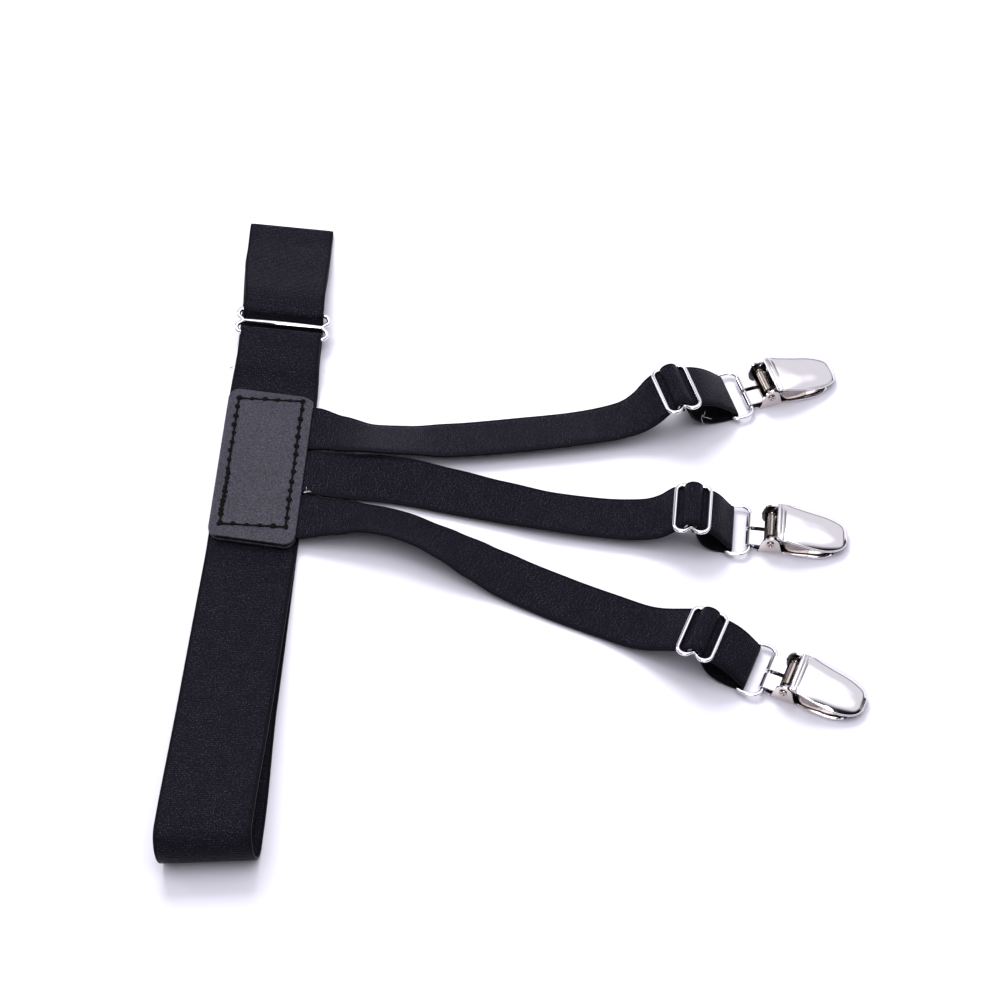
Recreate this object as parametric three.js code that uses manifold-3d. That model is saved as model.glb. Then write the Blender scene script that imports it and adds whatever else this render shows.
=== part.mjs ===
// Shirt stay: an elastic leg band with a wire slide, a sewn leather patch and three elastic straps.
// Each strap ends in a wire slide, a wire ring and a sprung metal clip with a flip-up cover.
// Millimetres. The origin is on the floor under the middle of the patch, +X points along the straps,
// +Y runs along the leg band towards its slide, and +Z is up.

import * as THREE from 'three';
import { mergeVertices } from 'three/addons/utils/BufferGeometryUtils.js';
import Module from 'manifold-3d';

const wasm = await Module();
wasm.setup();

// Webbing
const bandWidth = 40;
const bandThickness = 1.5;
const strapWidth = 23.6;
const strapThickness = 1.3;
const layerGap = 0.3;

// Leg band, lying flattened with a raised roll at the near end
const foldReach = 143.8;
const rollReach = 203.9;
const rollHeight = 21.6;
const foldRadius = 1.2;
const bandSlideReach = 79.6;
const bandSlideHeight = 7.9;
const bandSlideTilt = 12;
const bandSlideTurn = -3.2;
const bandGather = 1.2;
const bandTailLength = 25;
const bandSeamLength = 19;

// Leather patch: a lining under the strap ends and a cover over them, cut with a slight skew
const patchWidth = 39.2;
const patchHeight = 83;
const patchCorner = 5.5;
const patchSkew = 3.6;
const patchOffset = { x: -0.4, y: -1.4 };
const plyThickness = 1.2;

// Wire hardware
const wireClearance = 0.3;
const slideWire = 1.9;
const slideWidth = 28.6;
const slideLength = 17;
const slideNotch = 2.6;
const bandSlideWire = 2;
const bandSlideWidth = 44.5;
const bandSlideLength = 14;
const ringWire = 1.8;
const ringWidth = 28;
const ringLength = 11.7;
const ringTightCorner = 2;
const ringWideCorner = 4.6;

// Clip
const sheet = 0.8;
const clipLength = 42.5;
const clipWidth = 18.8;
const coverSetback = 11.8;
const coverHeight = 12.3;
const pinSetback = 9.2;
const pinHeight = 6.7;
const pinDiameter = 2;
const rivetHeadDiameter = 3.8;
const rivetHeadHeight = 0.6;
const earRadius = 3.8;
const earFoot = 5.5;
const tabSlot = 2;
const tabFlap = 6.2;

// Straps. Lanes are counted from the far side of the patch; places are those of the strap slides.
const laneGap = 1;
const laneOffset = -3.2;
const strapInset = 5;
const strapFlatRun = 1.5;
const upperStrap = { name: 'upper', lane: 1, reach: 163.5, sway: 23.9, rise: 19.5, heading: 22, dropRun: 24.6 };
const middleStrap = { name: 'middle', lane: 0, reach: 173.1, sway: -15.4, rise: 16.6, heading: -1.5, dropRun: 16.2 };
const lowerStrap = { name: 'lower', lane: -1, reach: 179.4, sway: -56.3, rise: 16.5, heading: -18, dropRun: 21 };

// Where each strap runs between the patch and its slide: along and side are shares of its reach and
// sway, height is a share of its rise, and tilt turns its width about its run, in degrees.
upperStrap.route = [
  { along: 0.078, side: -0.05, height: 0.25, tilt: -12 },
  { along: 0.167, side: -0.11, height: 0.23, tilt: -22 },
  { along: 0.272, side: -0.10, height: 0.22, tilt: -21 },
  { along: 0.383, side: -0.04, height: 0.20, tilt: -14 },
  { along: 0.575, side: 0.19, height: 0.185, tilt: -13 },
  { along: 0.740, side: 0.42, height: 0.20, tilt: -14 },
  { along: 0.850, side: 0.61, height: 0.27, tilt: -11 },
  { along: 0.905, side: 0.72, height: 0.48, tilt: -5 },
];
middleStrap.route = [
  { along: 0.100, side: 0.02, height: 0.29, tilt: 5 },
  { along: 0.243, side: 0.05, height: 0.26, tilt: 10 },
  { along: 0.374, side: 0.27, height: 0.20, tilt: 4 },
  { along: 0.505, side: 0.52, height: 0.16, tilt: -3 },
  { along: 0.635, side: 0.77, height: 0.18, tilt: -9 },
  { along: 0.765, side: 0.92, height: 0.21, tilt: -8 },
  { along: 0.866, side: 0.99, height: 0.31, tilt: -4 },
  { along: 0.920, side: 1.01, height: 0.54, tilt: 0 },
];
lowerStrap.route = [
  { along: 0.098, side: 0, height: 0.42, tilt: -14 },
  { along: 0.169, side: 0.013, height: 0.50, tilt: -24 },
  { along: 0.249, side: 0.057, height: 0.51, tilt: -26 },
  { along: 0.312, side: 0.127, height: 0.48, tilt: -27 },
  { along: 0.376, side: 0.211, height: 0.41, tilt: -22 },
  { along: 0.452, side: 0.319, height: 0.27, tilt: -12 },
  { along: 0.528, side: 0.423, height: 0.15, tilt: -3 },
  { along: 0.653, side: 0.584, height: 0.10, tilt: 0 },
  { along: 0.777, side: 0.729, height: 0.12, tilt: 0 },
  { along: 0.865, side: 0.845, height: 0.28, tilt: 0 },
];

// Facets
const wireSides = 8;
const cornerSteps = 3;
const notchSteps = 6;

// Colours, roughness and metalness
const webbing = { color: 0x2b2b34, roughness: 0.85, metalness: 0 };
const leather = { color: 0x3a3b44, roughness: 0.6, metalness: 0 };
const nickel = { color: 0xd2d0cf, roughness: 0.18, metalness: 1 };

// Heights of the layers stacked at the patch, from the floor up
const backLayerZ = bandThickness / 2;
const frontLayerZ = backLayerZ + bandThickness + layerGap;
const liningZ = frontLayerZ + bandThickness / 2 + layerGap;
const strapLayerZ = liningZ + plyThickness + layerGap + strapThickness / 2;
const patchZ = strapLayerZ + strapThickness / 2 + layerGap;

const vec = (x, y, z) => new THREE.Vector3(x, y, z);
const radians = THREE.MathUtils.degToRad;

// Meshes and solids

function merged(geometry) {
  geometry.deleteAttribute('uv');
  geometry.deleteAttribute('normal');
  return mergeVertices(geometry, 1e-5);
}

function solidOf(geometry) {
  const clean = merged(geometry);
  return new wasm.Manifold(new wasm.Mesh({
    numProp: 3,
    vertProperties: new Float32Array(clean.attributes.position.array),
    triVerts: new Uint32Array(clean.index.array),
  }));
}

function joined(geometries, cuts = []) {
  let solid = solidOf(geometries[0]);
  for (const geometry of geometries.slice(1)) {
    solid = solid.add(solidOf(geometry));
  }
  for (const cut of cuts) {
    solid = solid.subtract(solidOf(cut));
  }
  const mesh = solid.getMesh();
  const geometry = new THREE.BufferGeometry();
  geometry.setAttribute('position', new THREE.BufferAttribute(new Float32Array(mesh.vertProperties), 3));
  geometry.setIndex(new THREE.BufferAttribute(new Uint32Array(mesh.triVerts), 1));
  return geometry;
}

function piece(name, geometry, finish) {
  const mesh = new THREE.Mesh(geometry, new THREE.MeshStandardMaterial(finish));
  mesh.name = name;
  return mesh;
}

// The direction of a line of points at one of them
function tangentAt(points, i, closed = false) {
  const n = points.length;
  const before = closed ? points[(i - 1 + n) % n] : points[Math.max(i - 1, 0)];
  const after = closed ? points[(i + 1) % n] : points[Math.min(i + 1, n - 1)];
  return after.clone().sub(before).normalize();
}

// A flat strip that follows stations, each with a centre, a unit vector across it and a half width
function strip(stations, thickness) {
  const last = stations.length - 1;
  const centres = stations.map((station) => station.at);
  const geometry = merged(new THREE.BoxGeometry(1, 1, 1, last, 1, 1));
  const position = geometry.attributes.position;
  for (let i = 0; i < position.count; i += 1) {
    const index = Math.round((position.getX(i) + 0.5) * last);
    const station = stations[index];
    const normal = tangentAt(centres, index).cross(station.across).normalize();
    const point = station.at.clone()
      .addScaledVector(station.across, position.getY(i) * 2 * station.half)
      .addScaledVector(normal, position.getZ(i) * thickness);
    position.setXYZ(i, point.x, point.y, point.z);
  }
  return geometry;
}

// A closed loop of round wire through points that lie in a plane with the given normal
function wireLoop(points, diameter, normal) {
  const count = points.length;
  const geometry = merged(new THREE.TorusGeometry(1, 0.25, wireSides, count));
  const position = geometry.attributes.position;
  for (let i = 0; i < position.count; i += 1) {
    const x = position.getX(i);
    const y = position.getY(i);
    const z = position.getZ(i);
    const turn = Math.atan2(y, x) / (2 * Math.PI);
    const index = (Math.round(turn * count) + count) % count;
    const round = Math.atan2(z, Math.hypot(x, y) - 1);
    const side = tangentAt(points, index, true).cross(normal).normalize();
    const point = points[index].clone()
      .addScaledVector(side, Math.cos(round) * diameter / 2)
      .addScaledVector(normal, Math.sin(round) * diameter / 2);
    position.setXYZ(i, point.x, point.y, point.z);
  }
  return geometry;
}

// A straight round rod between two points at the same height, along Y
function rodAlongY(x, z, y0, y1, diameter, sides = wireSides) {
  const geometry = new THREE.CylinderGeometry(diameter / 2, diameter / 2, y1 - y0, sides);
  geometry.translate(x, (y0 + y1) / 2, z);
  return geometry;
}

// A pressed sheet: each row has its place along X, a half width, and heights at its crown and edges
function pressedSheet(rows, thickness, acrossSteps) {
  const last = rows.length - 1;
  const surface = (index, share) => {
    const row = rows[index];
    const across = Math.sin(share * Math.PI / 2);
    const fall = Math.abs(across) ** 3;
    return vec(row.x, row.half * across, row.crown + (row.edge - row.crown) * fall);
  };
  const geometry = merged(new THREE.BoxGeometry(1, 1, 1, last, acrossSteps, 1));
  const position = geometry.attributes.position;
  const shareStep = 1 / acrossSteps;
  for (let i = 0; i < position.count; i += 1) {
    const index = Math.round((position.getX(i) + 0.5) * last);
    const share = position.getY(i) * 2;
    const along = surface(Math.min(index + 1, last), share).sub(surface(Math.max(index - 1, 0), share));
    const across = surface(index, Math.min(share + shareStep, 1))
      .sub(surface(index, Math.max(share - shareStep, -1)));
    const normal = along.cross(across).normalize();
    const point = surface(index, share).addScaledVector(normal, position.getZ(i) * thickness);
    position.setXYZ(i, point.x, point.y, point.z);
  }
  return geometry;
}

// A flat plate standing on edge, from an outline in X and Z, between two places along Y
function standingPlate(shape, y0, y1) {
  const geometry = new THREE.ExtrudeGeometry(shape, { depth: y1 - y0, bevelEnabled: false, curveSegments: 8 });
  geometry.rotateX(Math.PI / 2);
  geometry.translate(0, y1, 0);
  return geometry;
}

// Points on an arc in an upright plane, as pairs of run and height, with angles in degrees
function arcPoints(run, height, radius, from, to, steps) {
  const points = [];
  for (let i = 0; i <= steps; i += 1) {
    const angle = radians(from + (to - from) * i / steps);
    points.push({ run: run + radius * Math.cos(angle), height: height + radius * Math.sin(angle) });
  }
  return points;
}

// Points on a smooth line through knots, without its ends
function betweenPoints(knots, steps) {
  const curve = new THREE.CatmullRomCurve3(knots.map((knot) => vec(knot.run, knot.height, 0)), false, 'centripetal');
  const points = curve.getSpacedPoints(steps).slice(1, -1);
  return points.map((point) => ({ run: point.x, height: point.y }));
}

// The corners of a wire loop rounded with arcs, in the plane of X and Y
function roundedLoop(corners) {
  const points = [];
  for (const corner of corners) {
    for (let i = 0; i <= cornerSteps; i += 1) {
      const angle = radians(corner.from + 90 * i / cornerSteps);
      points.push(vec(
        corner.x + corner.radius * Math.cos(angle),
        corner.y + corner.radius * Math.sin(angle),
        0,
      ));
    }
  }
  return points;
}

// Wire slide, lying in X and Y: a frame with a pinch at the middle of each end, and a bar between them
function slideGeometry(width, length, wire) {
  const halfLength = (length - wire) / 2;
  const halfWidth = (width - wire) / 2;
  const corner = halfLength * 0.42;
  const dipHalf = halfLength - corner;
  const end = [];
  for (let i = 0; i <= cornerSteps; i += 1) {
    const angle = radians(90 * i / cornerSteps);
    end.push({ x: dipHalf + corner * Math.cos(angle), y: halfWidth - corner + corner * Math.sin(angle) });
  }
  for (let i = 1; i < notchSteps; i += 1) {
    const x = dipHalf * (1 - 2 * i / notchSteps);
    const dip = slideNotch * Math.cos(0.5 * Math.PI * x / dipHalf) ** 3;
    end.push({ x, y: halfWidth - dip });
  }
  for (let i = cornerSteps; i >= 0; i -= 1) {
    end.push({ x: -end[i].x, y: end[i].y });
  }
  const points = [...end.map((p) => vec(p.x, p.y, 0)), ...end.map((p) => vec(-p.x, -p.y, 0))];
  const barHalf = halfWidth - slideNotch;
  const bar = rodAlongY(0, 0, -barHalf, barHalf, wire * 0.94);
  return joined([wireLoop(points, wire, vec(0, 0, 1)), bar]);
}

// Wire ring, lying in X and Y with the strap's bar on the Y axis and the clip's bar ahead of it
function ringGeometry() {
  const span = ringLength - ringWire;
  const halfWidth = (ringWidth - ringWire) / 2;
  const tight = ringTightCorner;
  const wide = ringWideCorner;
  const points = roundedLoop([
    { x: span - wide, y: halfWidth - wide, radius: wide, from: 0 },
    { x: tight, y: halfWidth - tight, radius: tight, from: 90 },
    { x: tight, y: tight - halfWidth, radius: tight, from: 180 },
    { x: span - wide, y: wide - halfWidth, radius: wide, from: 270 },
  ]);
  return merged(wireLoop(points, ringWire, vec(0, 0, 1)));
}

// Leg band

const rollRadius = (rollHeight - bandThickness) / 2;
const rollRun = bandThickness / 2 + rollRadius * 0.9 - rollReach;
const bandWrapRadius = bandSlideWire / 2 + wireClearance + bandThickness / 2;
const bandBarSpacing = (bandSlideLength - bandSlideWire) / 2;
const bandSlideRise = bandBarSpacing * Math.sin(radians(bandSlideTilt));
const bandSlideRun = bandBarSpacing * Math.cos(radians(bandSlideTilt));

// The band's centreline seen from the side, from its loose tail round to its sewn end
function bandProfile() {
  const nearBar = { run: bandSlideReach - bandSlideRun, height: bandSlideHeight - bandSlideRise };
  const farBar = { run: bandSlideReach + bandSlideRun, height: bandSlideHeight + bandSlideRise };
  const rollZ = backLayerZ + rollRadius;
  const foldRun = foldReach - bandThickness / 2 - foldRadius;
  const foldZ = backLayerZ + foldRadius;
  const upperTop = farBar.height + bandWrapRadius;
  const foldTop = foldZ + foldRadius;
  const seamZ = nearBar.height - bandWrapRadius;
  const seamEnd = nearBar.run - bandSeamLength;
  const seamCover = seamZ + bandThickness + layerGap;
  const lowTop = nearBar.height + bandWrapRadius;
  const tailEnd = nearBar.run - bandTailLength;
  const frontRise = tailEnd - bandThickness * 4;
  const upperShare = (share) => farBar.run + (foldRun - farBar.run) * share;
  const upperHeight = (share) => foldTop + (upperTop - foldTop) * share;
  const crestZ = rollZ + rollRadius;
  const nearShare = (share) => rollRun * share;
  const nearHeight = (share) => frontLayerZ + (crestZ - frontLayerZ) * share;
  const threadRun = bandSlideReach + bandWrapRadius * 0.8;
  const threadZ = bandSlideHeight - bandWrapRadius * 0.95;

  const tail = [
    { run: tailEnd, height: frontLayerZ },
    ...betweenPoints([
      { run: tailEnd, height: frontLayerZ },
      { run: nearBar.run - bandWrapRadius, height: frontLayerZ },
      { run: nearBar.run + bandWrapRadius * 1.05, height: frontLayerZ + bandThickness * 0.32 },
      { run: threadRun, height: threadZ },
      { run: farBar.run - bandWrapRadius, height: farBar.height },
    ], 16),
  ];
  const overFarBar = arcPoints(farBar.run, farBar.height, bandWrapRadius, 180, 78, 6);
  const upper = betweenPoints([
    overFarBar[overFarBar.length - 1],
    { run: upperShare(0.2), height: upperHeight(0.85) },
    { run: upperShare(0.5), height: upperHeight(0.5) },
    { run: upperShare(0.8), height: upperHeight(0.13) },
    { run: foldRun, height: foldTop },
  ], 12);
  const fold = arcPoints(foldRun, foldZ, foldRadius, 90, -90, 8);
  const back = betweenPoints([
    { run: foldRun, height: backLayerZ },
    { run: rollRun, height: backLayerZ },
  ], 12);
  const roll = arcPoints(0, rollZ, rollRadius, -90, -270, 16)
    .map((point) => ({ run: rollRun + point.run * 0.9, height: point.height }));
  const front = betweenPoints([
    { run: rollRun, height: crestZ },
    { run: nearShare(0.93), height: nearHeight(0.92) },
    { run: nearShare(0.84), height: nearHeight(0.76) },
    { run: nearShare(0.7), height: nearHeight(0.54) },
    { run: nearShare(0.54), height: nearHeight(0.34) },
    { run: nearShare(0.4), height: nearHeight(0.17) },
    { run: nearShare(0.25), height: frontLayerZ },
    { run: nearShare(0.2), height: frontLayerZ },
    { run: frontRise, height: frontLayerZ },
    { run: tailEnd + bandThickness, height: frontLayerZ + bandThickness + layerGap },
    { run: seamEnd, height: seamCover },
    { run: (seamEnd + nearBar.run) / 2, height: (seamCover + lowTop) / 2 },
    { run: nearBar.run, height: lowTop },
  ], 36);
  const overNearBar = arcPoints(nearBar.run, nearBar.height, bandWrapRadius, 90, -90, 10);
  const seam = [{ run: (seamEnd + nearBar.run) / 2, height: seamZ }, { run: seamEnd, height: seamZ }];
  return [...tail, ...overFarBar, ...upper, ...fold, ...back, ...roll, ...front, ...overNearBar, ...seam];
}

// The two layers of the band drift sideways as they lie: shares of the band's width along its run
const frontDrift = [
  { run: 1, side: -0.075 },
  { run: 0.82, side: -0.05 },
  { run: 0.6, side: 0 },
  { run: 0, side: 0.005 },
  { run: -0.6, side: -0.005 },
  { run: -0.9, side: -0.012 },
];
const backDrift = [
  { run: 1, side: -0.075 },
  { run: 0, side: 0 },
  { run: -0.6, side: 0.012 },
  { run: -0.9, side: 0.05 },
];

// How far the band is turned from square as it lies, in degrees
const bandTurns = [
  { run: foldReach, turn: -3.3 },
  { run: bandSlideReach, turn: bandSlideTurn },
  { run: bandSlideReach / 2, turn: 0 },
  { run: -rollReach * 0.6, turn: 0 },
  { run: -rollReach * 0.93, turn: 6.4 },
];

// The value of one of these tables at a run between its rows
function easedAt(table, run, key) {
  const clamped = THREE.MathUtils.clamp(run, table[table.length - 1].run, table[0].run);
  const next = Math.max(table.findIndex((row) => row.run <= clamped), 1);
  const from = table[next - 1];
  const to = table[next];
  const mix = (from.run - clamped) / (from.run - to.run);
  return THREE.MathUtils.lerp(from[key], to[key], THREE.MathUtils.smoothstep(mix, 0, 1));
}

function driftAt(table, run) {
  return bandWidth * easedAt(table, run > 0 ? run / foldReach : run / rollReach, 'side');
}

function bandGeometry() {
  const stations = bandProfile().map((point) => {
    const rise = THREE.MathUtils.clamp((point.height - backLayerZ) / (2 * rollRadius), 0, 1);
    const lower = point.height < backLayerZ + foldRadius;
    const front = driftAt(frontDrift, point.run);
    const back = driftAt(backDrift, point.run);
    const share = point.run < rollRun ? rise : Number(!lower);
    const nearSlide = 1 - THREE.MathUtils.smoothstep(Math.abs(point.run - bandSlideReach), 11, 40);
    const turn = radians(easedAt(bandTurns, point.run, 'turn'));
    return {
      at: vec(THREE.MathUtils.lerp(back, front, share), point.run, point.height),
      across: vec(Math.cos(turn), Math.sin(turn), 0),
      half: bandWidth / 2 - bandGather * nearSlide,
    };
  });
  return strip(stations, bandThickness);
}

// Leather patch

function patchGeometry(z) {
  const halfWidth = patchWidth / 2;
  const halfHeight = patchHeight / 2;
  const corner = patchCorner;
  const shape = new THREE.Shape();
  shape.moveTo(-halfWidth, corner - halfHeight);
  shape.absarc(corner - halfWidth, corner - halfHeight, corner, Math.PI, 1.5 * Math.PI, false);
  shape.absarc(halfWidth - corner, corner - halfHeight, corner, 1.5 * Math.PI, 2 * Math.PI, false);
  shape.absarc(halfWidth - corner, halfHeight - corner, corner, 0, 0.5 * Math.PI, false);
  shape.absarc(corner - halfWidth, halfHeight - corner, corner, 0.5 * Math.PI, Math.PI, false);
  const round = plyThickness * 0.3;
  const geometry = new THREE.ExtrudeGeometry(shape, {
    depth: plyThickness - 2 * round,
    bevelEnabled: true,
    bevelThickness: round,
    bevelSize: round,
    bevelOffset: -round,
    bevelSegments: 1,
    curveSegments: 4,
  });
  geometry.translate(0, 0, z + round);
  const skewed = merged(geometry);
  const position = skewed.attributes.position;
  for (let i = 0; i < position.count; i += 1) {
    const x = position.getX(i);
    const ends = THREE.MathUtils.clamp(position.getY(i) / (patchHeight / 2), -1, 1) ** 2;
    position.setY(i, position.getY(i) - patchSkew * ends * x / patchWidth);
  }
  skewed.translate(patchOffset.x, patchOffset.y, 0);
  return skewed;
}

// Straps

const strapWrapRadius = slideWire / 2 + wireClearance + strapThickness / 2;
const humpRadius = strapWrapRadius + strapThickness + layerGap * 1.3;
const ringWrapRadius = ringWire / 2 + wireClearance * 1.2 + strapThickness / 2;
const ringZ = ringWrapRadius + strapThickness / 2 + 0.05;
const slideBarSpacing = (slideLength - slideWire) / 2;

// The strap's own frame at its slide: run along its heading, side across it
function strapFrame(strap) {
  const heading = radians(strap.heading);
  const x = patchWidth / 2 + strap.reach;
  const y = laneOffset + strap.lane * (strapWidth + laneGap) + strap.sway;
  const ahead = vec(Math.cos(heading), Math.sin(heading), 0);
  const across = vec(-Math.sin(heading), Math.cos(heading), 0);
  return { origin: vec(x, y, 0), ahead, across };
}

// The strap seen from the side past its route: over the slide's bar, round the ring and back
function strapProfile(strap) {
  const z = strap.rise;
  const run = strap.dropRun;
  const under = z - strapWrapRadius;
  const bar = slideBarSpacing;
  const over = [
    { run: -bar, height: under },
    { run: -bar + slideWire * 0.8, height: under + strapThickness * 0.2 },
    ...arcPoints(0, z, humpRadius, 184, -4, 10),
    { run: bar - slideWire * 0.8, height: under + strapThickness * 0.2 },
    { run: bar, height: under },
  ];
  const meet = 52;
  const drop = new THREE.CubicBezierCurve3(
    vec(bar, under, 0),
    vec(bar + (run - bar) * 0.5, under - (under - ringZ) * 0.12, 0),
    vec(run - ringWrapRadius * 1.3, ringZ + ringWrapRadius * 2.9, 0),
    vec(
      run + ringWrapRadius * Math.cos(radians(meet)),
      ringZ + ringWrapRadius * Math.sin(radians(meet)),
      0,
    ),
  ).getPoints(8).slice(1, -1).map((point) => ({ run: point.x, height: point.y }));
  const roundRing = arcPoints(run, ringZ, ringWrapRadius, meet, -90, 9);
  const low = ringZ - ringWrapRadius;
  const climb = new THREE.CubicBezierCurve3(
    vec(run, low, 0),
    vec(run * 0.2, low, 0),
    vec(strapWrapRadius * 1.5, z - (z - low) * 0.45, 0),
    vec(strapWrapRadius, z, 0),
  ).getPoints(12).slice(1, -1).map((point) => ({ run: point.x, height: point.y }));
  const roundBar = arcPoints(0, z, strapWrapRadius, 0, 186, 10);
  const tail = [
    { run: -strapWrapRadius * 0.62, height: z - strapWrapRadius * 0.9 },
    { run: -strapWrapRadius * 0.05, height: z - strapWrapRadius * 1.9 },
    { run: strapWrapRadius * 0.3, height: z - strapWrapRadius * 2.9 },
    { run: strapWrapRadius * 0.62, height: z - strapWrapRadius * 3.7 },
  ];
  return { over, drop, roundRing, climb, roundBar, tail };
}

function strapGeometry(strap) {
  const frame = strapFrame(strap);
  const profile = strapProfile(strap);
  const half = strapWidth / 2;
  const pinchedHalf = slideWidth / 2 - slideWire * 1.5 - slideNotch + slideWire / 2 - wireClearance * 1.5;
  const startY = laneOffset + strap.lane * (strapWidth + laneGap);
  const patchEdge = patchWidth / 2;
  const place = (point, width) => ({
    at: frame.origin.clone().addScaledVector(frame.ahead, point.run).add(vec(0, 0, point.height)),
    across: frame.across,
    half: width,
  });

  // The route: under the patch, then through the table's places to the slide
  const first = profile.over[0];
  const knots = [
    vec(strapInset - patchEdge, startY, strapLayerZ),
    vec(0, startY, strapLayerZ),
    vec(patchEdge - strapFlatRun, startY, strapLayerZ),
    vec(patchEdge + strapFlatRun, startY, strapLayerZ),
    ...strap.route.map((row) => vec(
      patchEdge + strap.reach * row.along,
      startY + strap.sway * row.side,
      strap.rise * row.height,
    )),
    place(first, half).at,
    place({ run: first.run + slideWire, height: first.height + strapThickness * 0.3 }, half).at,
  ];
  const tilts = [0, 0, 0, 0, ...strap.route.map((row) => row.tilt), 0, 0];
  const curve = new THREE.CatmullRomCurve3(knots, false, 'centripetal');
  const spans = knots.length - 1;
  const perSpan = 3;
  const stations = [];
  for (let i = 0; i < (spans - 1) * perSpan; i += 1) {
    const share = i / perSpan;
    const knot = Math.floor(share);
    const at = curve.getPoint(share / spans);
    const ahead = curve.getTangent(share / spans);
    const mix = THREE.MathUtils.smoothstep(share - knot, 0, 1);
    const tilt = radians(THREE.MathUtils.lerp(tilts[knot], tilts[knot + 1], mix));
    const level = vec(-ahead.y, ahead.x, 0).normalize();
    stations.push({ at, across: level.applyAxisAngle(ahead, tilt), half });
  }

  const { over, drop, roundRing, climb, roundBar, tail } = profile;
  const humpHalf = half - 0.3;
  over.forEach((point, i) => {
    stations.push(place(point, i > 1 && i < over.length - 2 ? humpHalf : half));
  });
  for (const point of [...drop, ...roundRing]) {
    stations.push(place(point, humpHalf));
  }
  climb.forEach((point, i) => {
    stations.push(place(point, THREE.MathUtils.lerp(humpHalf, pinchedHalf, ((i + 1) / climb.length) ** 2)));
  });
  for (const point of [...roundBar, ...tail]) {
    stations.push(place(point, pinchedHalf));
  }
  return strip(stations, strapThickness);
}

// Clip, lying on the floor with the ring's bar over the origin and its tip ahead along X

const earFace = clipWidth / 2;
const barHole = ringWire / 2 + wireClearance;
const pinHole = pinDiameter + 2 * wireClearance;
const armFace = earFace - sheet - wireClearance;
const barrelFace = armFace - sheet - wireClearance;
const barrelDiameter = pinHole + 2 * sheet;

// Shares of the clip's length from its ring bar, of its half width, and of the cover's height
function sheetRows(table, fromX, toX, halfWidth, height) {
  return table.map((row) => ({
    x: THREE.MathUtils.lerp(fromX, toX, row.along),
    half: halfWidth * row.half,
    crown: height * row.crown,
    edge: height * row.edge,
  }));
}

const coverTable = [
  { along: 0, half: 0.98, crown: 0.96, edge: 0.92 },
  { along: 0.1, half: 1, crown: 0.98, edge: 0.87 },
  { along: 0.3, half: 1.04, crown: 0.92, edge: 0.72 },
  { along: 0.5, half: 1.05, crown: 0.8, edge: 0.55 },
  { along: 0.7, half: 1.02, crown: 0.65, edge: 0.4 },
  { along: 0.84, half: 0.92, crown: 0.52, edge: 0.32 },
  { along: 0.93, half: 0.76, crown: 0.41, edge: 0.28 },
  { along: 0.98, half: 0.52, crown: 0.31, edge: 0.26 },
  { along: 1, half: 0.36, crown: 0.26, edge: 0.25 },
];
const jawTable = [
  { along: 0, half: 1, crown: 0.38, edge: 0.38 },
  { along: 0.2, half: 1, crown: 0.31, edge: 0.38 },
  { along: 0.4, half: 1.05, crown: 0.22, edge: 0.35 },
  { along: 0.6, half: 1.1, crown: 0.16, edge: 0.26 },
  { along: 0.8, half: 1.05, crown: 0.14, edge: 0.18 },
  { along: 0.94, half: 0.75, crown: 0.14, edge: 0.14 },
  { along: 1, half: 0.45, crown: 0.14, edge: 0.14 },
];
const floorTable = [
  { along: 0, half: 1 },
  { along: 0.31, half: 1 },
  { along: 0.5, half: 1.09 },
  { along: 0.7, half: 1.15 },
  { along: 0.84, half: 1.08 },
  { along: 0.94, half: 0.82 },
  { along: 1, half: 0.45 },
];

function earShape() {
  const shape = new THREE.Shape();
  shape.moveTo(pinSetback - earFoot, sheet / 2);
  shape.lineTo(pinSetback + earFoot, sheet / 2);
  shape.absarc(pinSetback, pinHeight, earRadius, radians(12), radians(168), false);
  return shape;
}

function clipBaseGeometry() {
  const rear = pinSetback - earFoot;
  const front = clipLength - 3.4;
  const outline = new THREE.Shape();
  outline.moveTo(rear, -earFace);
  for (const row of floorTable) {
    outline.lineTo(THREE.MathUtils.lerp(rear + 0.5, front, row.along), -earFace * row.half);
  }
  for (const row of [...floorTable].reverse()) {
    outline.lineTo(THREE.MathUtils.lerp(rear + 0.5, front, row.along), earFace * row.half);
  }
  outline.lineTo(rear, earFace);
  const floor = new THREE.ExtrudeGeometry(outline, { depth: sheet, bevelEnabled: false });
  const farEar = standingPlate(earShape(), earFace - sheet, earFace);
  const nearEar = standingPlate(earShape(), -earFace, sheet - earFace);

  // The two tabs that curl round the ring's bar and end in a flap above the floor
  const curl = barHole + sheet / 2;
  const tabWidth = earFace - tabSlot / 2 - sheet - 0.2;
  const path = [
    { run: rear + 1, height: sheet / 2 },
    { run: rear - 0.6, height: sheet / 2 },
    { run: curl * 0.55, height: ringZ - curl * 0.92 },
    ...arcPoints(0, ringZ, curl, -90, -270, 10),
    { run: tabFlap * 0.6, height: ringZ + curl },
    { run: tabFlap, height: ringZ + curl },
  ];
  const tabs = [-1, 1].map((side) => strip(path.map((point) => ({
    at: vec(point.run, side * (tabSlot + tabWidth) / 2, point.height),
    across: vec(0, 1, 0),
    half: tabWidth / 2,
  })), sheet));
  const hole = rodAlongY(pinSetback, pinHeight, -clipWidth, clipWidth, pinHole, 12);
  return joined([floor, farEar, nearEar, ...tabs], [hole]);
}

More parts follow.
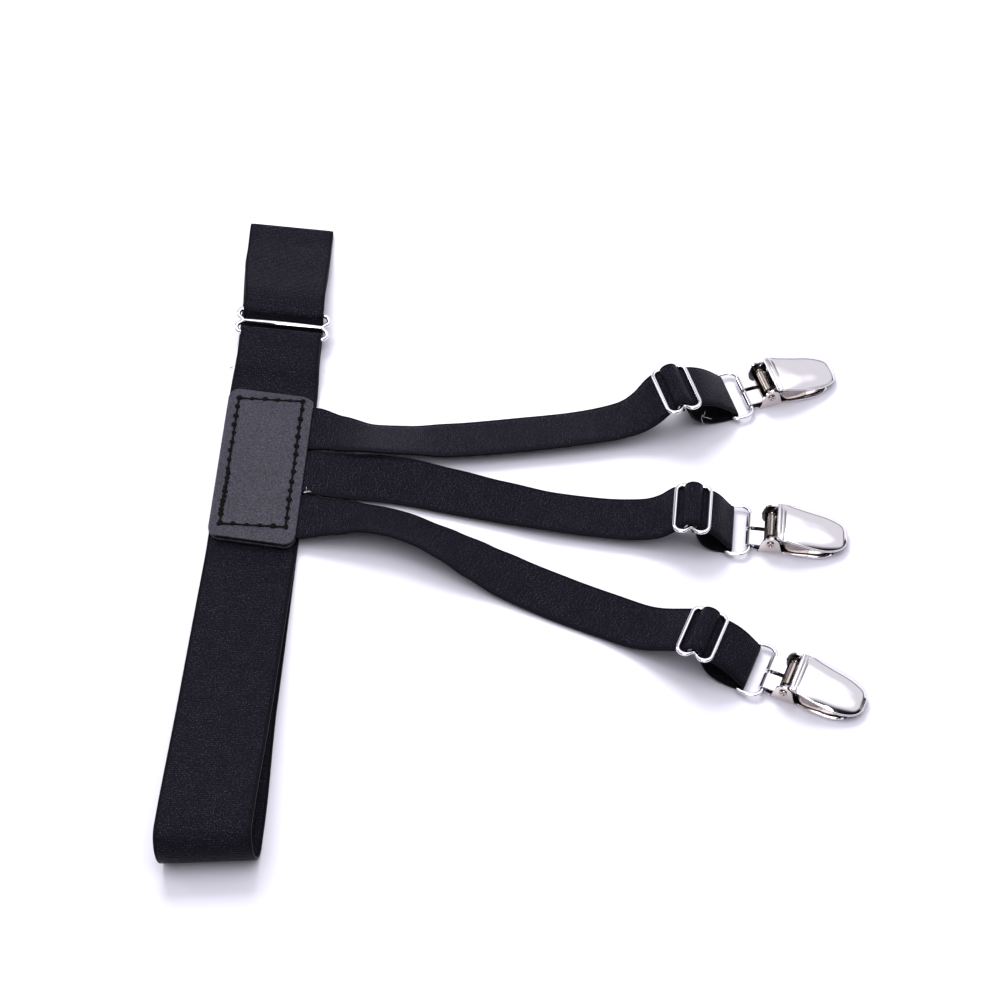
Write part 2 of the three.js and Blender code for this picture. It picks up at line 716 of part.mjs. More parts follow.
function clipPinGeometry() {
  const outer = earFace + wireClearance;
  const shank = pinDiameter / 2;
  const head = rivetHeadDiameter / 2;
  const profile = [
    new THREE.Vector2(0, -outer - rivetHeadHeight),
    new THREE.Vector2(head * 0.7, -outer - rivetHeadHeight),
    new THREE.Vector2(head, -outer),
    new THREE.Vector2(shank, -outer),
    new THREE.Vector2(shank, outer),
    new THREE.Vector2(head, outer),
    new THREE.Vector2(head * 0.7, outer + rivetHeadHeight),
    new THREE.Vector2(0, outer + rivetHeadHeight),
  ];
  const geometry = new THREE.LatheGeometry(profile, 10);
  geometry.translate(pinSetback, 0, pinHeight);
  return merged(geometry);
}

function clipJawGeometry() {
  const rows = sheetRows(jawTable, pinSetback + 0.3, clipLength - 2.8, barrelFace, coverHeight);
  const tongue = pressedSheet(rows, sheet, 6);
  const barrel = rodAlongY(pinSetback, pinHeight, -barrelFace, barrelFace, barrelDiameter, 12);
  const bore = rodAlongY(pinSetback, pinHeight, -clipWidth, clipWidth, pinHole, 12);
  return joined([tongue, barrel], [bore]);
}

function clipCoverGeometry() {
  const rows = sheetRows(coverTable, coverSetback, clipLength, clipWidth / 2, coverHeight);
  const dome = pressedSheet(rows, sheet, 6);
  const hem = rodAlongY(coverSetback + sheet * 0.4, coverHeight * 0.93, -earFace * 0.97, earFace * 0.97, sheet * 1.7);

  // Arms inside the ears, from the pin up to the cover's rear corners
  const collar = barrelDiameter / 2;
  const top = coverHeight * 0.93;
  const arm = new THREE.Shape();
  arm.moveTo(coverSetback + 0.2, top);
  arm.absarc(pinSetback, pinHeight, collar, radians(150), radians(330), false);
  arm.lineTo(coverSetback + 3.4, top * 0.86);
  arm.lineTo(coverSetback + 3.2, top);
  const farArm = standingPlate(arm, armFace - sheet, armFace);
  const nearArm = standingPlate(arm, -armFace, sheet - armFace);
  const bore = rodAlongY(pinSetback, pinHeight, -clipWidth, clipWidth, pinHole, 12);
  return joined([dome, hem, farArm, nearArm], [bore]);
}

// Assembly

const shirtStay = new THREE.Group();
shirtStay.add(piece('leg_band', bandGeometry(), webbing));
shirtStay.add(piece('patch_lining', patchGeometry(liningZ), leather));
shirtStay.add(piece('patch_leather', patchGeometry(patchZ), leather));

const bandSlide = piece('band_slide', slideGeometry(bandSlideWidth, bandSlideLength, bandSlideWire), nickel);
bandSlide.rotation.set(0, -radians(bandSlideTilt), Math.PI / 2 + radians(bandSlideTurn), 'ZYX');
bandSlide.position.set(0, bandSlideReach, bandSlideHeight);
shirtStay.add(bandSlide);

for (const strap of [upperStrap, middleStrap, lowerStrap]) {
  const frame = strapFrame(strap);
  const heading = radians(strap.heading);
  shirtStay.add(piece(`strap_${strap.name}`, strapGeometry(strap), webbing));

  const slide = piece(`strap_slide_${strap.name}`, slideGeometry(slideWidth, slideLength, slideWire), nickel);
  slide.position.copy(frame.origin).setZ(strap.rise);
  slide.rotation.z = heading;
  shirtStay.add(slide);

  const ring = piece(`ring_${strap.name}`, ringGeometry(), nickel);
  ring.position.copy(frame.origin).addScaledVector(frame.ahead, strap.dropRun).setZ(ringZ);
  ring.rotation.z = heading;
  shirtStay.add(ring);

  const clip = new THREE.Group();
  const barRun = strap.dropRun + ringLength - ringWire;
  clip.position.copy(frame.origin).addScaledVector(frame.ahead, barRun);
  clip.rotation.z = heading;
  clip.add(piece(`clip_base_${strap.name}`, clipBaseGeometry(), nickel));
  clip.add(piece(`clip_pin_${strap.name}`, clipPinGeometry(), nickel));
  clip.add(piece(`clip_jaw_${strap.name}`, clipJawGeometry(), nickel));
  clip.add(piece(`clip_cover_${strap.name}`, clipCoverGeometry(), nickel));
  shirtStay.add(clip);
}

export default shirtStay;
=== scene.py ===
"""Shirt stay: woven elastic, a sewn leather patch and nickel hardware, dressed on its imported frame."""
import math
import random

import bmesh
import bpy
import numpy as np
from bpy.props import FloatProperty, FloatVectorProperty, IntProperty, PointerProperty
from mathutils import Matrix, Vector


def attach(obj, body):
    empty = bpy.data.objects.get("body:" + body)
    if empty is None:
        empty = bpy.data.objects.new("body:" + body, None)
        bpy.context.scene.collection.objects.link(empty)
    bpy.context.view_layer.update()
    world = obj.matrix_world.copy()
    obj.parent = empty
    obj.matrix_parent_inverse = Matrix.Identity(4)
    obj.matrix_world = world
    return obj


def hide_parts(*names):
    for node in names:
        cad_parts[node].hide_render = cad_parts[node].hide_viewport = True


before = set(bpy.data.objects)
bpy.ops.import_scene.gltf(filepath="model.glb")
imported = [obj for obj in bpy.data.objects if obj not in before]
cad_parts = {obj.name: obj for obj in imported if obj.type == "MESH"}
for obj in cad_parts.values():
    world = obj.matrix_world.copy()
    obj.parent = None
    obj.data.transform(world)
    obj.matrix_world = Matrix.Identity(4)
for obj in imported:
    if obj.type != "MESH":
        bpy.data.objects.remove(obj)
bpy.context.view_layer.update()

bl_info = {
    "name": "Shirt Stay",
    "version": (1, 0, 0),
    "blender": (4, 5, 0),
    "location": "3D View > Sidebar > Shirt Stay",
    "description": "Webbing, leather, stitches and nickel hardware of a shirt stay",
    "category": "Object",
}

# Lengths in this file are millimetres in the frame's axes. Meshes are written in metres.
MM = 0.001

# Webbing
BAND_WIDTH = 40
BAND_THICKNESS = 1.5
STRAP_WIDTH = 23.6
STRAP_THICKNESS = 1.3
LAYER_GAP = 0.3

# Leg band
FOLD_REACH = 143.8
ROLL_REACH = 203.9
ROLL_HEIGHT = 21.6
FOLD_RADIUS = 1.2
BAND_SLIDE_REACH = 79.6
BAND_SLIDE_HEIGHT = 7.9
BAND_SLIDE_TILT = 12
BAND_SLIDE_TURN = -3.2
BAND_GATHER = 1.2
BAND_TAIL_LENGTH = 25
BAND_SEAM_LENGTH = 19

# Leather patch
PATCH_WIDTH = 39.2
PATCH_HEIGHT = 83
PATCH_CORNER = 5.5
PATCH_SKEW = 3.6
PATCH_OFFSET = (-0.4, -1.4)
PLY = 1.2

# Wire hardware
WIRE_CLEARANCE = 0.3
SLIDE_WIRE = 1.9
SLIDE_WIDTH = 28.6
SLIDE_LENGTH = 17
SLIDE_NOTCH = 2.6
# How much narrower than its room the strap's slide is, so that the webbing hides its far end
SLIDE_SHRINK = 2
BAND_SLIDE_WIRE = 2
BAND_SLIDE_WIDTH = 44.5
BAND_SLIDE_LENGTH = 14
RING_WIRE = 1.8
RING_WIDTH = 28
RING_LENGTH = 11.7
RING_TIGHT_CORNER = 2
RING_WIDE_CORNER = 4.6

# Clip
SHEET = 0.8
CLIP_LENGTH = 42.5
CLIP_WIDTH = 18.8
COVER_SETBACK = 11.8
COVER_HEIGHT = 12.3
PIN_SETBACK = 9.2
PIN_HEIGHT = 6.7
PIN_DIAMETER = 2
EAR_RADIUS = 3.8
EAR_FOOT = 5.5
TAB_SLOT = 2
TAB_FLAP = 6.2

# Heights of the layers stacked at the patch
BACK_Z = BAND_THICKNESS / 2
FRONT_Z = BACK_Z + BAND_THICKNESS + LAYER_GAP
LINING_Z = FRONT_Z + BAND_THICKNESS / 2 + LAYER_GAP
STRAP_Z = LINING_Z + PLY + LAYER_GAP + STRAP_THICKNESS / 2
PATCH_Z = STRAP_Z + STRAP_THICKNESS / 2 + LAYER_GAP

# Straps: the lane at the patch, the place of the strap's slide, and its route as shares of reach,
# sway and rise, with the tilt of its width in degrees
LANE_PITCH = STRAP_WIDTH + 1
LANE_OFFSET = -3.2
STRAP_INSET = 5
STRAP_FLAT_RUN = 1.5
STRAPS = {
    "upper": {
        "lane": 1, "reach": 163.5, "sway": 23.9, "rise": 19.5, "heading": 22, "drop": 24.6,
        "route": (
            (0.078, -0.05, 0.25, -12), (0.167, -0.11, 0.23, -22), (0.272, -0.10, 0.22, -21),
            (0.383, -0.04, 0.20, -14), (0.575, 0.19, 0.185, -13), (0.740, 0.42, 0.20, -14),
            (0.850, 0.61, 0.27, -11), (0.905, 0.72, 0.48, -5),
        ),
    },
    "middle": {
        "lane": 0, "reach": 173.1, "sway": -15.4, "rise": 16.6, "heading": -1.5, "drop": 16.2,
        "route": (
            (0.100, 0.02, 0.29, 5), (0.243, 0.05, 0.26, 10), (0.374, 0.27, 0.20, 4),
            (0.505, 0.52, 0.16, -3), (0.635, 0.77, 0.18, -9), (0.765, 0.92, 0.21, -8),
            (0.866, 0.99, 0.31, -4), (0.920, 1.01, 0.54, 0),
        ),
    },
    "lower": {
        "lane": -1, "reach": 179.4, "sway": -56.3, "rise": 16.5, "heading": -18, "drop": 21,
        "route": (
            (0.098, 0, 0.42, -14), (0.169, 0.013, 0.50, -24), (0.249, 0.057, 0.51, -26),
            (0.312, 0.127, 0.48, -27), (0.376, 0.211, 0.41, -22), (0.452, 0.319, 0.27, -12),
            (0.528, 0.423, 0.15, -3), (0.653, 0.584, 0.10, 0), (0.777, 0.729, 0.12, 0),
            (0.865, 0.845, 0.28, 0),
        ),
    },
}


def linear(hex_code):
    """An sRGB hex colour as linear red, green and blue."""
    parts = [int(hex_code[i:i + 2], 16) / 255 for i in (1, 3, 5)]
    return tuple(p / 12.92 if p <= 0.04045 else ((p + 0.055) / 1.055) ** 2.4 for p in parts)


# Lines and stations

def ease(value, low, high):
    """Nought below low, one above high, and smooth between."""
    share = np.clip((value - low) / (high - low), 0, 1)
    return share * share * (3 - 2 * share)


def rail(knots, samples):
    """Points on a smooth line through knots, and how many knots along each one is."""
    knots = np.asarray(knots, float)
    padded = np.vstack([2 * knots[0] - knots[1], knots, 2 * knots[-1] - knots[-2]])
    points, shares = [], []
    for k in range(len(knots) - 1):
        p0, p1, p2, p3 = padded[k:k + 4]
        d0, d1, d2 = (math.sqrt(np.linalg.norm(b - a)) for a, b in ((p0, p1), (p1, p2), (p2, p3)))
        t1 = ((p1 - p0) / d0 - (p2 - p0) / (d0 + d1) + (p2 - p1) / d1) * d1
        t2 = ((p2 - p1) / d1 - (p3 - p1) / (d1 + d2) + (p3 - p2) / d2) * d1
        for i in range(samples):
            w = i / samples
            points.append(p1 + t1 * w + (3 * (p2 - p1) - 2 * t1 - t2) * w ** 2
                          + (2 * (p1 - p2) + t1 + t2) * w ** 3)
            shares.append(k + w)
    points.append(knots[-1])
    shares.append(len(knots) - 1)
    return np.array(points), np.array(shares)


def arc(run, height, radius, start, end, steps=16):
    """Points on an arc, from one angle in degrees to another."""
    angles = np.radians(np.linspace(start, end, steps + 1))
    return np.column_stack([run + radius * np.cos(angles), height + radius * np.sin(angles)])


def bezier(a, b, c, d, steps=24):
    """Points on a cubic curve."""
    a, b, c, d = (np.asarray(p, float) for p in (a, b, c, d))
    t = np.linspace(0, 1, steps + 1)[:, None]
    return a * (1 - t) ** 3 + 3 * b * t * (1 - t) ** 2 + 3 * c * t ** 2 * (1 - t) + d * t ** 3


def directions(points):
    """The unit direction of a line at each of its points."""
    along = np.gradient(points, axis=0)
    return along / np.linalg.norm(along, axis=1)[:, None]


def settled(at, across, half):
    """Stations set close together, eased over a millimetre, and thinned where the line runs straight."""
    fine_step, longest_step, most_turn, window = 0.2, 1.3, 5.0, 5
    steps = np.linalg.norm(np.diff(at, axis=0), axis=1)
    keep = np.r_[True, steps > 1e-6]
    at, across, half = at[keep], across[keep], half[keep]
    length = np.r_[0, np.cumsum(np.linalg.norm(np.diff(at, axis=0), axis=1))]
    fine = np.linspace(0, length[-1], int(length[-1] / fine_step) + 1)

    def spread(rows):
        columns = [np.interp(fine, length, column) for column in np.atleast_2d(rows.T)]
        for column in columns:
            eased = np.convolve(np.pad(column, window // 2, mode="edge"), np.ones(window) / window, "valid")
            column[window:-window] = eased[window:-window]
        return np.column_stack(columns)

    at, across, half = spread(at), spread(across), spread(half)[:, 0]
    along = directions(at)
    across /= np.linalg.norm(across, axis=1)[:, None]
    kept, since = [0], 0
    for i in range(1, len(at) - 1):
        since += fine_step
        turn = math.degrees(math.acos(min(1, along[kept[-1]] @ along[i])))
        if since > longest_step or turn > most_turn:
            kept.append(i)
            since = 0
    kept.append(len(at) - 1)
    normal = np.cross(along, across)
    normal /= np.linalg.norm(normal, axis=1)[:, None]
    return {"at": at[kept], "across": across[kept], "normal": normal[kept], "half": half[kept],
            "length": fine[kept]}


# Leg band

BAND_WRAP = BAND_SLIDE_WIRE / 2 + WIRE_CLEARANCE + BAND_THICKNESS / 2
BAND_BAR = (BAND_SLIDE_LENGTH - BAND_SLIDE_WIRE) / 2
BAND_BAR_RUN = BAND_BAR * math.cos(math.radians(BAND_SLIDE_TILT))
BAND_BAR_RISE = BAND_BAR * math.sin(math.radians(BAND_SLIDE_TILT))
ROLL_RADIUS = (ROLL_HEIGHT - BAND_THICKNESS) / 2
ROLL_RUN = BAND_THICKNESS / 2 + ROLL_RADIUS * 0.9 - ROLL_REACH


def band_line():
    """The leg band's centreline seen from the side, as run and height, from its loose end to its seam."""
    near_run, near_z = BAND_SLIDE_REACH - BAND_BAR_RUN, BAND_SLIDE_HEIGHT - BAND_BAR_RISE
    far_run, far_z = BAND_SLIDE_REACH + BAND_BAR_RUN, BAND_SLIDE_HEIGHT + BAND_BAR_RISE
    roll_z = BACK_Z + ROLL_RADIUS
    fold_run = FOLD_REACH - BAND_THICKNESS / 2 - FOLD_RADIUS
    fold_z = BACK_Z + FOLD_RADIUS
    fold_top = fold_z + FOLD_RADIUS
    upper_top = far_z + BAND_WRAP
    seam_z = near_z - BAND_WRAP
    seam_end = near_run - BAND_SEAM_LENGTH
    seam_cover = seam_z + BAND_THICKNESS + LAYER_GAP
    low_top = near_z + BAND_WRAP
    tail_end = near_run - BAND_TAIL_LENGTH
    crest = roll_z + ROLL_RADIUS

    def upper(share, height):
        return far_run + (fold_run - far_run) * share, fold_top + (upper_top - fold_top) * height

    def near(share, height):
        return ROLL_RUN * share, FRONT_Z + (crest - FRONT_Z) * height

    tail = rail([
        (tail_end, FRONT_Z),
        (near_run - BAND_WRAP, FRONT_Z),
        (near_run + BAND_WRAP * 1.05, FRONT_Z + BAND_THICKNESS * 0.32),
        (BAND_SLIDE_REACH + BAND_WRAP * 0.8, BAND_SLIDE_HEIGHT - BAND_WRAP * 0.95),
        (far_run - BAND_WRAP, far_z),
    ], 12)[0]
    over_far_bar = arc(far_run, far_z, BAND_WRAP, 180, 112)
    upper_run = rail([over_far_bar[-1], (far_run + 4.5, upper_top + 0.75), (far_run + 10, upper_top + 0.5),
                      upper(0.42, 0.7), upper(0.62, 0.42), upper(0.82, 0.13),
                      (fold_run, fold_top)], 12)[0]
    fold = arc(fold_run, fold_z, FOLD_RADIUS, 90, -90)
    roll = arc(0, roll_z, ROLL_RADIUS, -90, -270, 40) * (0.9, 1) + (ROLL_RUN, 0)
    front = rail([
        (ROLL_RUN, crest), near(0.93, 0.92), near(0.84, 0.76), near(0.7, 0.54), near(0.54, 0.34),
        near(0.4, 0.17), near(0.25, 0), near(0.2, 0),
        (tail_end - BAND_THICKNESS * 4, FRONT_Z),
        (tail_end + BAND_THICKNESS, FRONT_Z + BAND_THICKNESS + LAYER_GAP),
        (seam_end, seam_cover),
        ((seam_end + near_run) / 2, (seam_cover + low_top) / 2),
        (near_run, low_top),
    ], 16)[0]
    over_near_bar = arc(near_run, near_z, BAND_WRAP, 90, -90)
    return np.vstack([tail, over_far_bar, upper_run, fold, roll, front, over_near_bar, [(seam_end, seam_z)]])


# How far the band's front and back layers drift sideways, as shares of its width along its run
FRONT_DRIFT = ((1, -0.075), (0.82, -0.05), (0.6, 0), (0, 0.005), (-0.6, -0.005), (-0.9, -0.012))
BACK_DRIFT = ((1, -0.075), (0, 0), (-0.6, 0.012), (-0.9, 0.05))


# How far the band is turned from square as it lies, in degrees along its run
BAND_TURNS = (
    (FOLD_REACH, -3.3), (BAND_SLIDE_REACH, BAND_SLIDE_TURN), (BAND_SLIDE_REACH / 2, 0),
    (-ROLL_REACH * 0.6, 0), (-ROLL_REACH * 0.93, 6.4),
)


def eased_at(table, place):
    """The value of a table between its rows."""
    place = min(max(place, table[-1][0]), table[0][0])
    later = max(next(i for i, row in enumerate(table) if row[0] <= place), 1)
    (a, value_a), (b, value_b) = table[later - 1], table[later]
    return value_a + (value_b - value_a) * ease((a - place) / (a - b), 0, 1)


def drift(table, run):
    """The sideways drift of a layer at one place."""
    return BAND_WIDTH * eased_at(table, run / (FOLD_REACH if run > 0 else ROLL_REACH))


# How far from the slide the band is held in, and where it has its full width again
GATHER_REACH = (11, 40)


def band_stations():
    """Where the leg band lies, with its width gathered inside its slide."""
    at, across, half = [], [], []
    dense = settled(*[np.array(x, float) for x in zip(*[
        ((0, run, z), (1, 0, 0), 1) for run, z in band_line()])])["at"]
    for _, run, z in dense:
        if run < ROLL_RUN:
            share = np.clip((z - BACK_Z) / (2 * ROLL_RADIUS), 0, 1)
        else:
            share = float(z >= BACK_Z + FOLD_RADIUS)
        side = drift(BACK_DRIFT, run) * (1 - share) + drift(FRONT_DRIFT, run) * share
        near_slide = 1 - ease(abs(run - BAND_SLIDE_REACH), *GATHER_REACH)
        turn = math.radians(eased_at(BAND_TURNS, run))
        at.append((side, run, z))
        across.append((math.cos(turn), math.sin(turn), 0))
        half.append(BAND_WIDTH / 2 - BAND_GATHER * near_slide)
    return settled(np.array(at), np.array(across), np.array(half))


# Straps

STRAP_WRAP = SLIDE_WIRE / 2 + WIRE_CLEARANCE + STRAP_THICKNESS / 2
HUMP_RADIUS = STRAP_WRAP + STRAP_THICKNESS + LAYER_GAP * 1.3
RING_WRAP = RING_WIRE / 2 + WIRE_CLEARANCE * 1.2 + STRAP_THICKNESS / 2
RING_Z = RING_WRAP + STRAP_THICKNESS / 2 + 0.05
SLIDE_BAR = (SLIDE_LENGTH - SLIDE_WIRE) / 2


def strap_place(strap):
    """The matrix of a strap's own axes under its slide: X along its heading, Z up from the floor."""
    x = PATCH_WIDTH / 2 + strap["reach"]
    y = LANE_OFFSET + strap["lane"] * LANE_PITCH + strap["sway"]
    return Matrix.Translation((x, y, 0)) @ Matrix.Rotation(math.radians(strap["heading"]), 4, "Z")


def strap_stations(strap):
    """Where a strap lies: from the patch over its slide, round its ring, and back round the slide's bar."""
    z, run, bar = strap["rise"], strap["drop"], SLIDE_BAR
    under = z - STRAP_WRAP
    start_y = LANE_OFFSET + strap["lane"] * LANE_PITCH
    edge = PATCH_WIDTH / 2
    matrix = np.array(strap_place(strap))
    flat_across = matrix[:3, 1]
    half = STRAP_WIDTH / 2
    hump_half = half - 0.3
    pinched_half = (SLIDE_WIDTH - SLIDE_SHRINK) / 2 - SLIDE_WIRE - SLIDE_NOTCH - WIRE_CLEARANCE

    def placed(profile):
        local = np.column_stack([profile[:, 0], np.zeros(len(profile)), profile[:, 1], np.ones(len(profile))])
        return (local @ matrix.T)[:, :3]

    over = np.vstack([
        [(-bar, under), (-bar + SLIDE_WIRE * 0.8, under + STRAP_THICKNESS * 0.2)],
        arc(0, z, HUMP_RADIUS, 184, -4, 24),
        [(bar - SLIDE_WIRE * 0.8, under + STRAP_THICKNESS * 0.2), (bar, under)],
    ])
    # Where on the ring's bar, in degrees, the strap coming down meets it
    meet_angle = 52
    meet = math.radians(meet_angle)
    drop = bezier(
        (bar, under),
        (bar + (run - bar) * 0.5, under - (under - RING_Z) * 0.12),
        (run - RING_WRAP * 1.3, RING_Z + RING_WRAP * 2.9),
        (run + RING_WRAP * math.cos(meet), RING_Z + RING_WRAP * math.sin(meet)),
    )
    round_ring = arc(run, RING_Z, RING_WRAP, meet_angle, -90)
    low = RING_Z - RING_WRAP
    climb = bezier((run, low), (run * 0.2, low), (STRAP_WRAP * 1.5, z - (z - low) * 0.45), (STRAP_WRAP, z))
    round_bar = arc(0, z, STRAP_WRAP, 0, 186)
    tail = np.array([(-0.62, 0.9), (-0.05, 1.9), (0.3, 2.9), (0.62, 3.7)])
    tail = tail * (STRAP_WRAP, -STRAP_WRAP) + (0, z)
    knots = [
        (STRAP_INSET - edge, start_y, STRAP_Z),
        (0, start_y, STRAP_Z),
        (edge - STRAP_FLAT_RUN, start_y, STRAP_Z),
        (edge + STRAP_FLAT_RUN, start_y, STRAP_Z),
    ]
    tilts = [0, 0, 0, 0]
    for along, side, height, tilt in strap["route"]:
        knots.append((edge + strap["reach"] * along, start_y + strap["sway"] * side, z * height))
        tilts.append(tilt)
    knots += list(placed(over[:2]))
    tilts += [0, 0]
    route, shares = rail(knots[:-1], 16)
    ahead = directions(route)
    across = []
    for share, way in zip(shares, ahead):
        knot = min(int(share), len(tilts) - 2)
        tilt = tilts[knot] + (tilts[knot + 1] - tilts[knot]) * ease(share - knot, 0, 1)
        level = Vector((-way[1], way[0], 0)).normalized()
        across.append(Matrix.Rotation(math.radians(tilt), 3, Vector(way)) @ level)
    pinch = hump_half + (pinched_half - hump_half) * np.linspace(0, 1, len(climb)) ** 2
    lines = [placed(part) for part in (over[1:], drop, round_ring, climb, round_bar, tail)]
    halves = [np.full(len(part), hump_half) for part in (over[1:], drop, round_ring)]
    halves += [pinch] + [np.full(len(part), pinched_half) for part in (round_bar, tail)]
    tail_count = sum(len(line) for line in lines)
    return settled(
        np.vstack([route, *lines]),
        np.vstack([np.array(across), np.tile(flat_across, (tail_count, 1))]),
        np.concatenate([np.full(len(route), half), *halves]),
    )


# Meshes

def new_piece(name, points, faces, material, sharp_angle=38):
    """A mesh object from points in millimetres."""
    mesh = bpy.data.meshes.new(name)
    mesh.from_pydata((np.asarray(points, float) * MM).tolist(), [], [tuple(face) for face in faces])
    work = bmesh.new()
    work.from_mesh(mesh)
    bmesh.ops.recalc_face_normals(work, faces=work.faces)
    work.to_mesh(mesh)
    work.free()
    mesh.materials.append(material)
    mesh.shade_smooth()
    mesh.set_sharp_from_angle(angle=math.radians(sharp_angle))
    piece = bpy.data.objects.new(name, mesh)
    bpy.context.scene.collection.objects.link(piece)
    return piece


def dress(piece, body, slot, *nodes):
    """Makes a piece move with its body and stand for the frame's own nodes."""
    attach(piece, body)
    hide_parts(*nodes)
    return piece


def with_bevel(piece, width):
    """Rounds a pressed sheet's cut edges."""
    bevel = piece.modifiers.new("Rounded edges", "BEVEL")
    bevel.width = width * MM
    bevel.segments = 2
    bevel.limit_method = "ANGLE"
    bevel.angle_limit = math.radians(40)
    bevel.use_clamp_overlap = True
    bevel.harden_normals = False
    return piece


def plain_mesh(piece):
    """Replaces a piece's geometry by what its modifiers make of it, and removes them."""
    graph = bpy.context.evaluated_depsgraph_get()
    made = bpy.data.meshes.new_from_object(piece.evaluated_get(graph))
    piece.modifiers.clear()
    piece.data = made
    return piece


def loop_faces(loops, sides, closed=False):
    """Quads between loops of points that follow each other, and back to the first one where closed."""
    faces = []
    for i in range(loops if closed else loops - 1):
        n = (i + 1) % loops
        for j in range(sides):
            k = (j + 1) % sides
            faces.append((i * sides + j, i * sides + k, n * sides + k, n * sides + j))
    return faces


# Webbing's cross-section near an edge: inset, share of the thickness, and how much it is selvage
SELVAGE = (
    (0, 0, 1), (0.06, 0.22, 1), (0.2, 0.38, 1), (0.45, 0.46, 1), (0.8, 0.46, 1), (1.05, 0.40, 0.9),
    (1.3, 0.40, 0.5), (1.55, 0.5, 0),
)


def ribbon(stations, thickness, width):
    """A closed strip of webbing with beaded selvages; returns its points, faces, UVs and selvage shares."""
    inner = np.linspace(-1, 1, 11)[1:-1]
    points, uvs, selvages = [], [], []
    for at, across, normal, half, length in zip(*(stations[key] for key in (
            "at", "across", "normal", "half", "length"))):
        flat = half - SELVAGE[-1][0]
        row = [(inset - half, share, edge) for inset, share, edge in SELVAGE]
        row += [(flat * share, 0.5, 0) for share in inner]
        row += [(half - inset, share, edge) for inset, share, edge in reversed(SELVAGE)]
        under = [(u, -share, edge) for u, share, edge in reversed(row[1:-1])]
        for u, share, edge in row + under:
            points.append(at + across * u + normal * share * thickness)
            uvs.append((u / half * width / 2 * MM, length * MM))
            selvages.append(edge)
    top = 2 * len(SELVAGE) + len(inner)
    loop = 2 * top - 2
    rows = len(stations["half"])
    faces = loop_faces(rows, loop)
    for base in (0, (rows - 1) * loop):
        for j in range(top - 1):
            ring = [base + j, base + j + 1, base + (loop - j - 1) % loop, base + (loop - j) % loop]
            faces.append(list(dict.fromkeys(ring)))
    return points, faces, uvs, selvages


def webbing_piece(name, stations, thickness, width, material):
    """A length of webbing as an object, with its own UV map in metres and its selvages marked."""
    points, faces, uvs, selvages = ribbon(stations, thickness, width)
    piece = new_piece(name, points, faces, material, 60)
    mesh = piece.data
    layer = mesh.uv_layers.new(name="weave")
    corners = np.empty(len(mesh.loops), np.int32)
    mesh.loops.foreach_get("vertex_index", corners)
    layer.data.foreach_set("uv", np.array(uvs)[corners].ravel())
    mark = mesh.attributes.new("selvage", "FLOAT", "POINT")
    mark.data.foreach_set("value", np.array(selvages, float))
    return piece


def grid_faces(rows, columns):
    """Quads over a grid of points stored row by row."""
    corners = [i * columns + j for i in range(rows - 1) for j in range(columns - 1)]
    return [(a, a + 1, a + columns + 1, a + columns) for a in corners]


def grid_rim(rows, columns):
    """The points round the edge of such a grid, in order."""
    return [*range(columns), *[i * columns + columns - 1 for i in range(1, rows)],
            *[(rows - 1) * columns + j for j in range(columns - 2, -1, -1)],
            *[i * columns for i in range(rows - 2, 0, -1)]]


def thick_sheet(middle, thickness):
    """A closed sheet round a grid of middle points, as points and faces."""
    rows, columns = middle.shape[:2]
    normal = np.cross(np.gradient(middle, axis=0), np.gradient(middle, axis=1))
    normal /= np.linalg.norm(normal, axis=2)[:, :, None]
    over = (middle + normal * thickness / 2).reshape(-1, 3)
    under = (middle - normal * thickness / 2).reshape(-1, 3)
    count = rows * columns
    faces = grid_faces(rows, columns)
    faces += [tuple(reversed([i + count for i in face])) for face in faces]
    rim = grid_rim(rows, columns)
    faces += [(b, a, a + count, b + count) for a, b in zip(rim, rim[1:] + rim[:1])]
    return np.vstack([over, under]), faces


def plate(outline, thickness, place):
    """A flat plate: an outline of pairs, a thickness, and a function from (a, b, depth) to a point."""
    count = len(outline)
    points = [place(a, b, depth) for depth in (0, thickness) for a, b in outline]
    faces = [tuple(range(count)), tuple(reversed(range(count, 2 * count)))]
    faces += [(i, (i + 1) % count, (i + 1) % count + count, i + count) for i in range(count)]
    return np.array(points, float), faces


def tube(path, radius, sides):
    """A round bar along a path, as points and faces."""
    path = np.asarray(path, float)
    along = directions(path)
    side = np.cross(along, (0, 0, 1))
    side /= np.linalg.norm(side, axis=1)[:, None]
    lift = np.cross(side, along)
    points = []
    for centre, across, up in zip(path, side, lift):
        for angle in np.linspace(0, 2 * math.pi, sides, endpoint=False):
            points.append(centre + radius * (across * math.cos(angle) + up * math.sin(angle)))
    faces = loop_faces(len(path), sides)
    faces += [tuple(range(sides)), tuple(range((len(path) - 1) * sides, len(path) * sides))]
    return np.array(points), faces


def combined(parts):
    """Several shapes as one: points, faces, and the finish of each face."""
    points, faces, finishes, base = [], [], [], 0
    for (more_points, more_faces), given in parts:
        points.append(np.asarray(more_points, float))
        finishes += [given] * len(more_faces) if isinstance(given, str) else given
        faces += [tuple(i + base for i in face) for face in more_faces]
        base += len(more_points)
    return np.vstack(points), faces, finishes


def moved(points, matrix):
    """Points carried by a matrix."""
    points = np.asarray(points, float)
    return (np.column_stack([points, np.ones(len(points))]) @ np.array(matrix).T)[:, :3]


# Materials

def add_node(tree, kind, inputs=None, output=0, **settings):
    """Adds a node with its settings, fills its inputs with values or links, and gives one of its outputs."""
    node = tree.nodes.new(kind)
    for key, value in settings.items():
        setattr(node, key, value)
    for key, value in (inputs or {}).items():
        socket = node.inputs[key]
        if isinstance(value, bpy.types.NodeSocket):
            tree.links.new(value, socket)
        else:
            socket.default_value = value
    return node.outputs[output] if len(node.outputs) else None


def new_material(name):
    """A material and its empty tree."""
    material = bpy.data.materials.new(name)
    material.use_nodes = True
    material.node_tree.nodes.clear()
    return material, material.node_tree


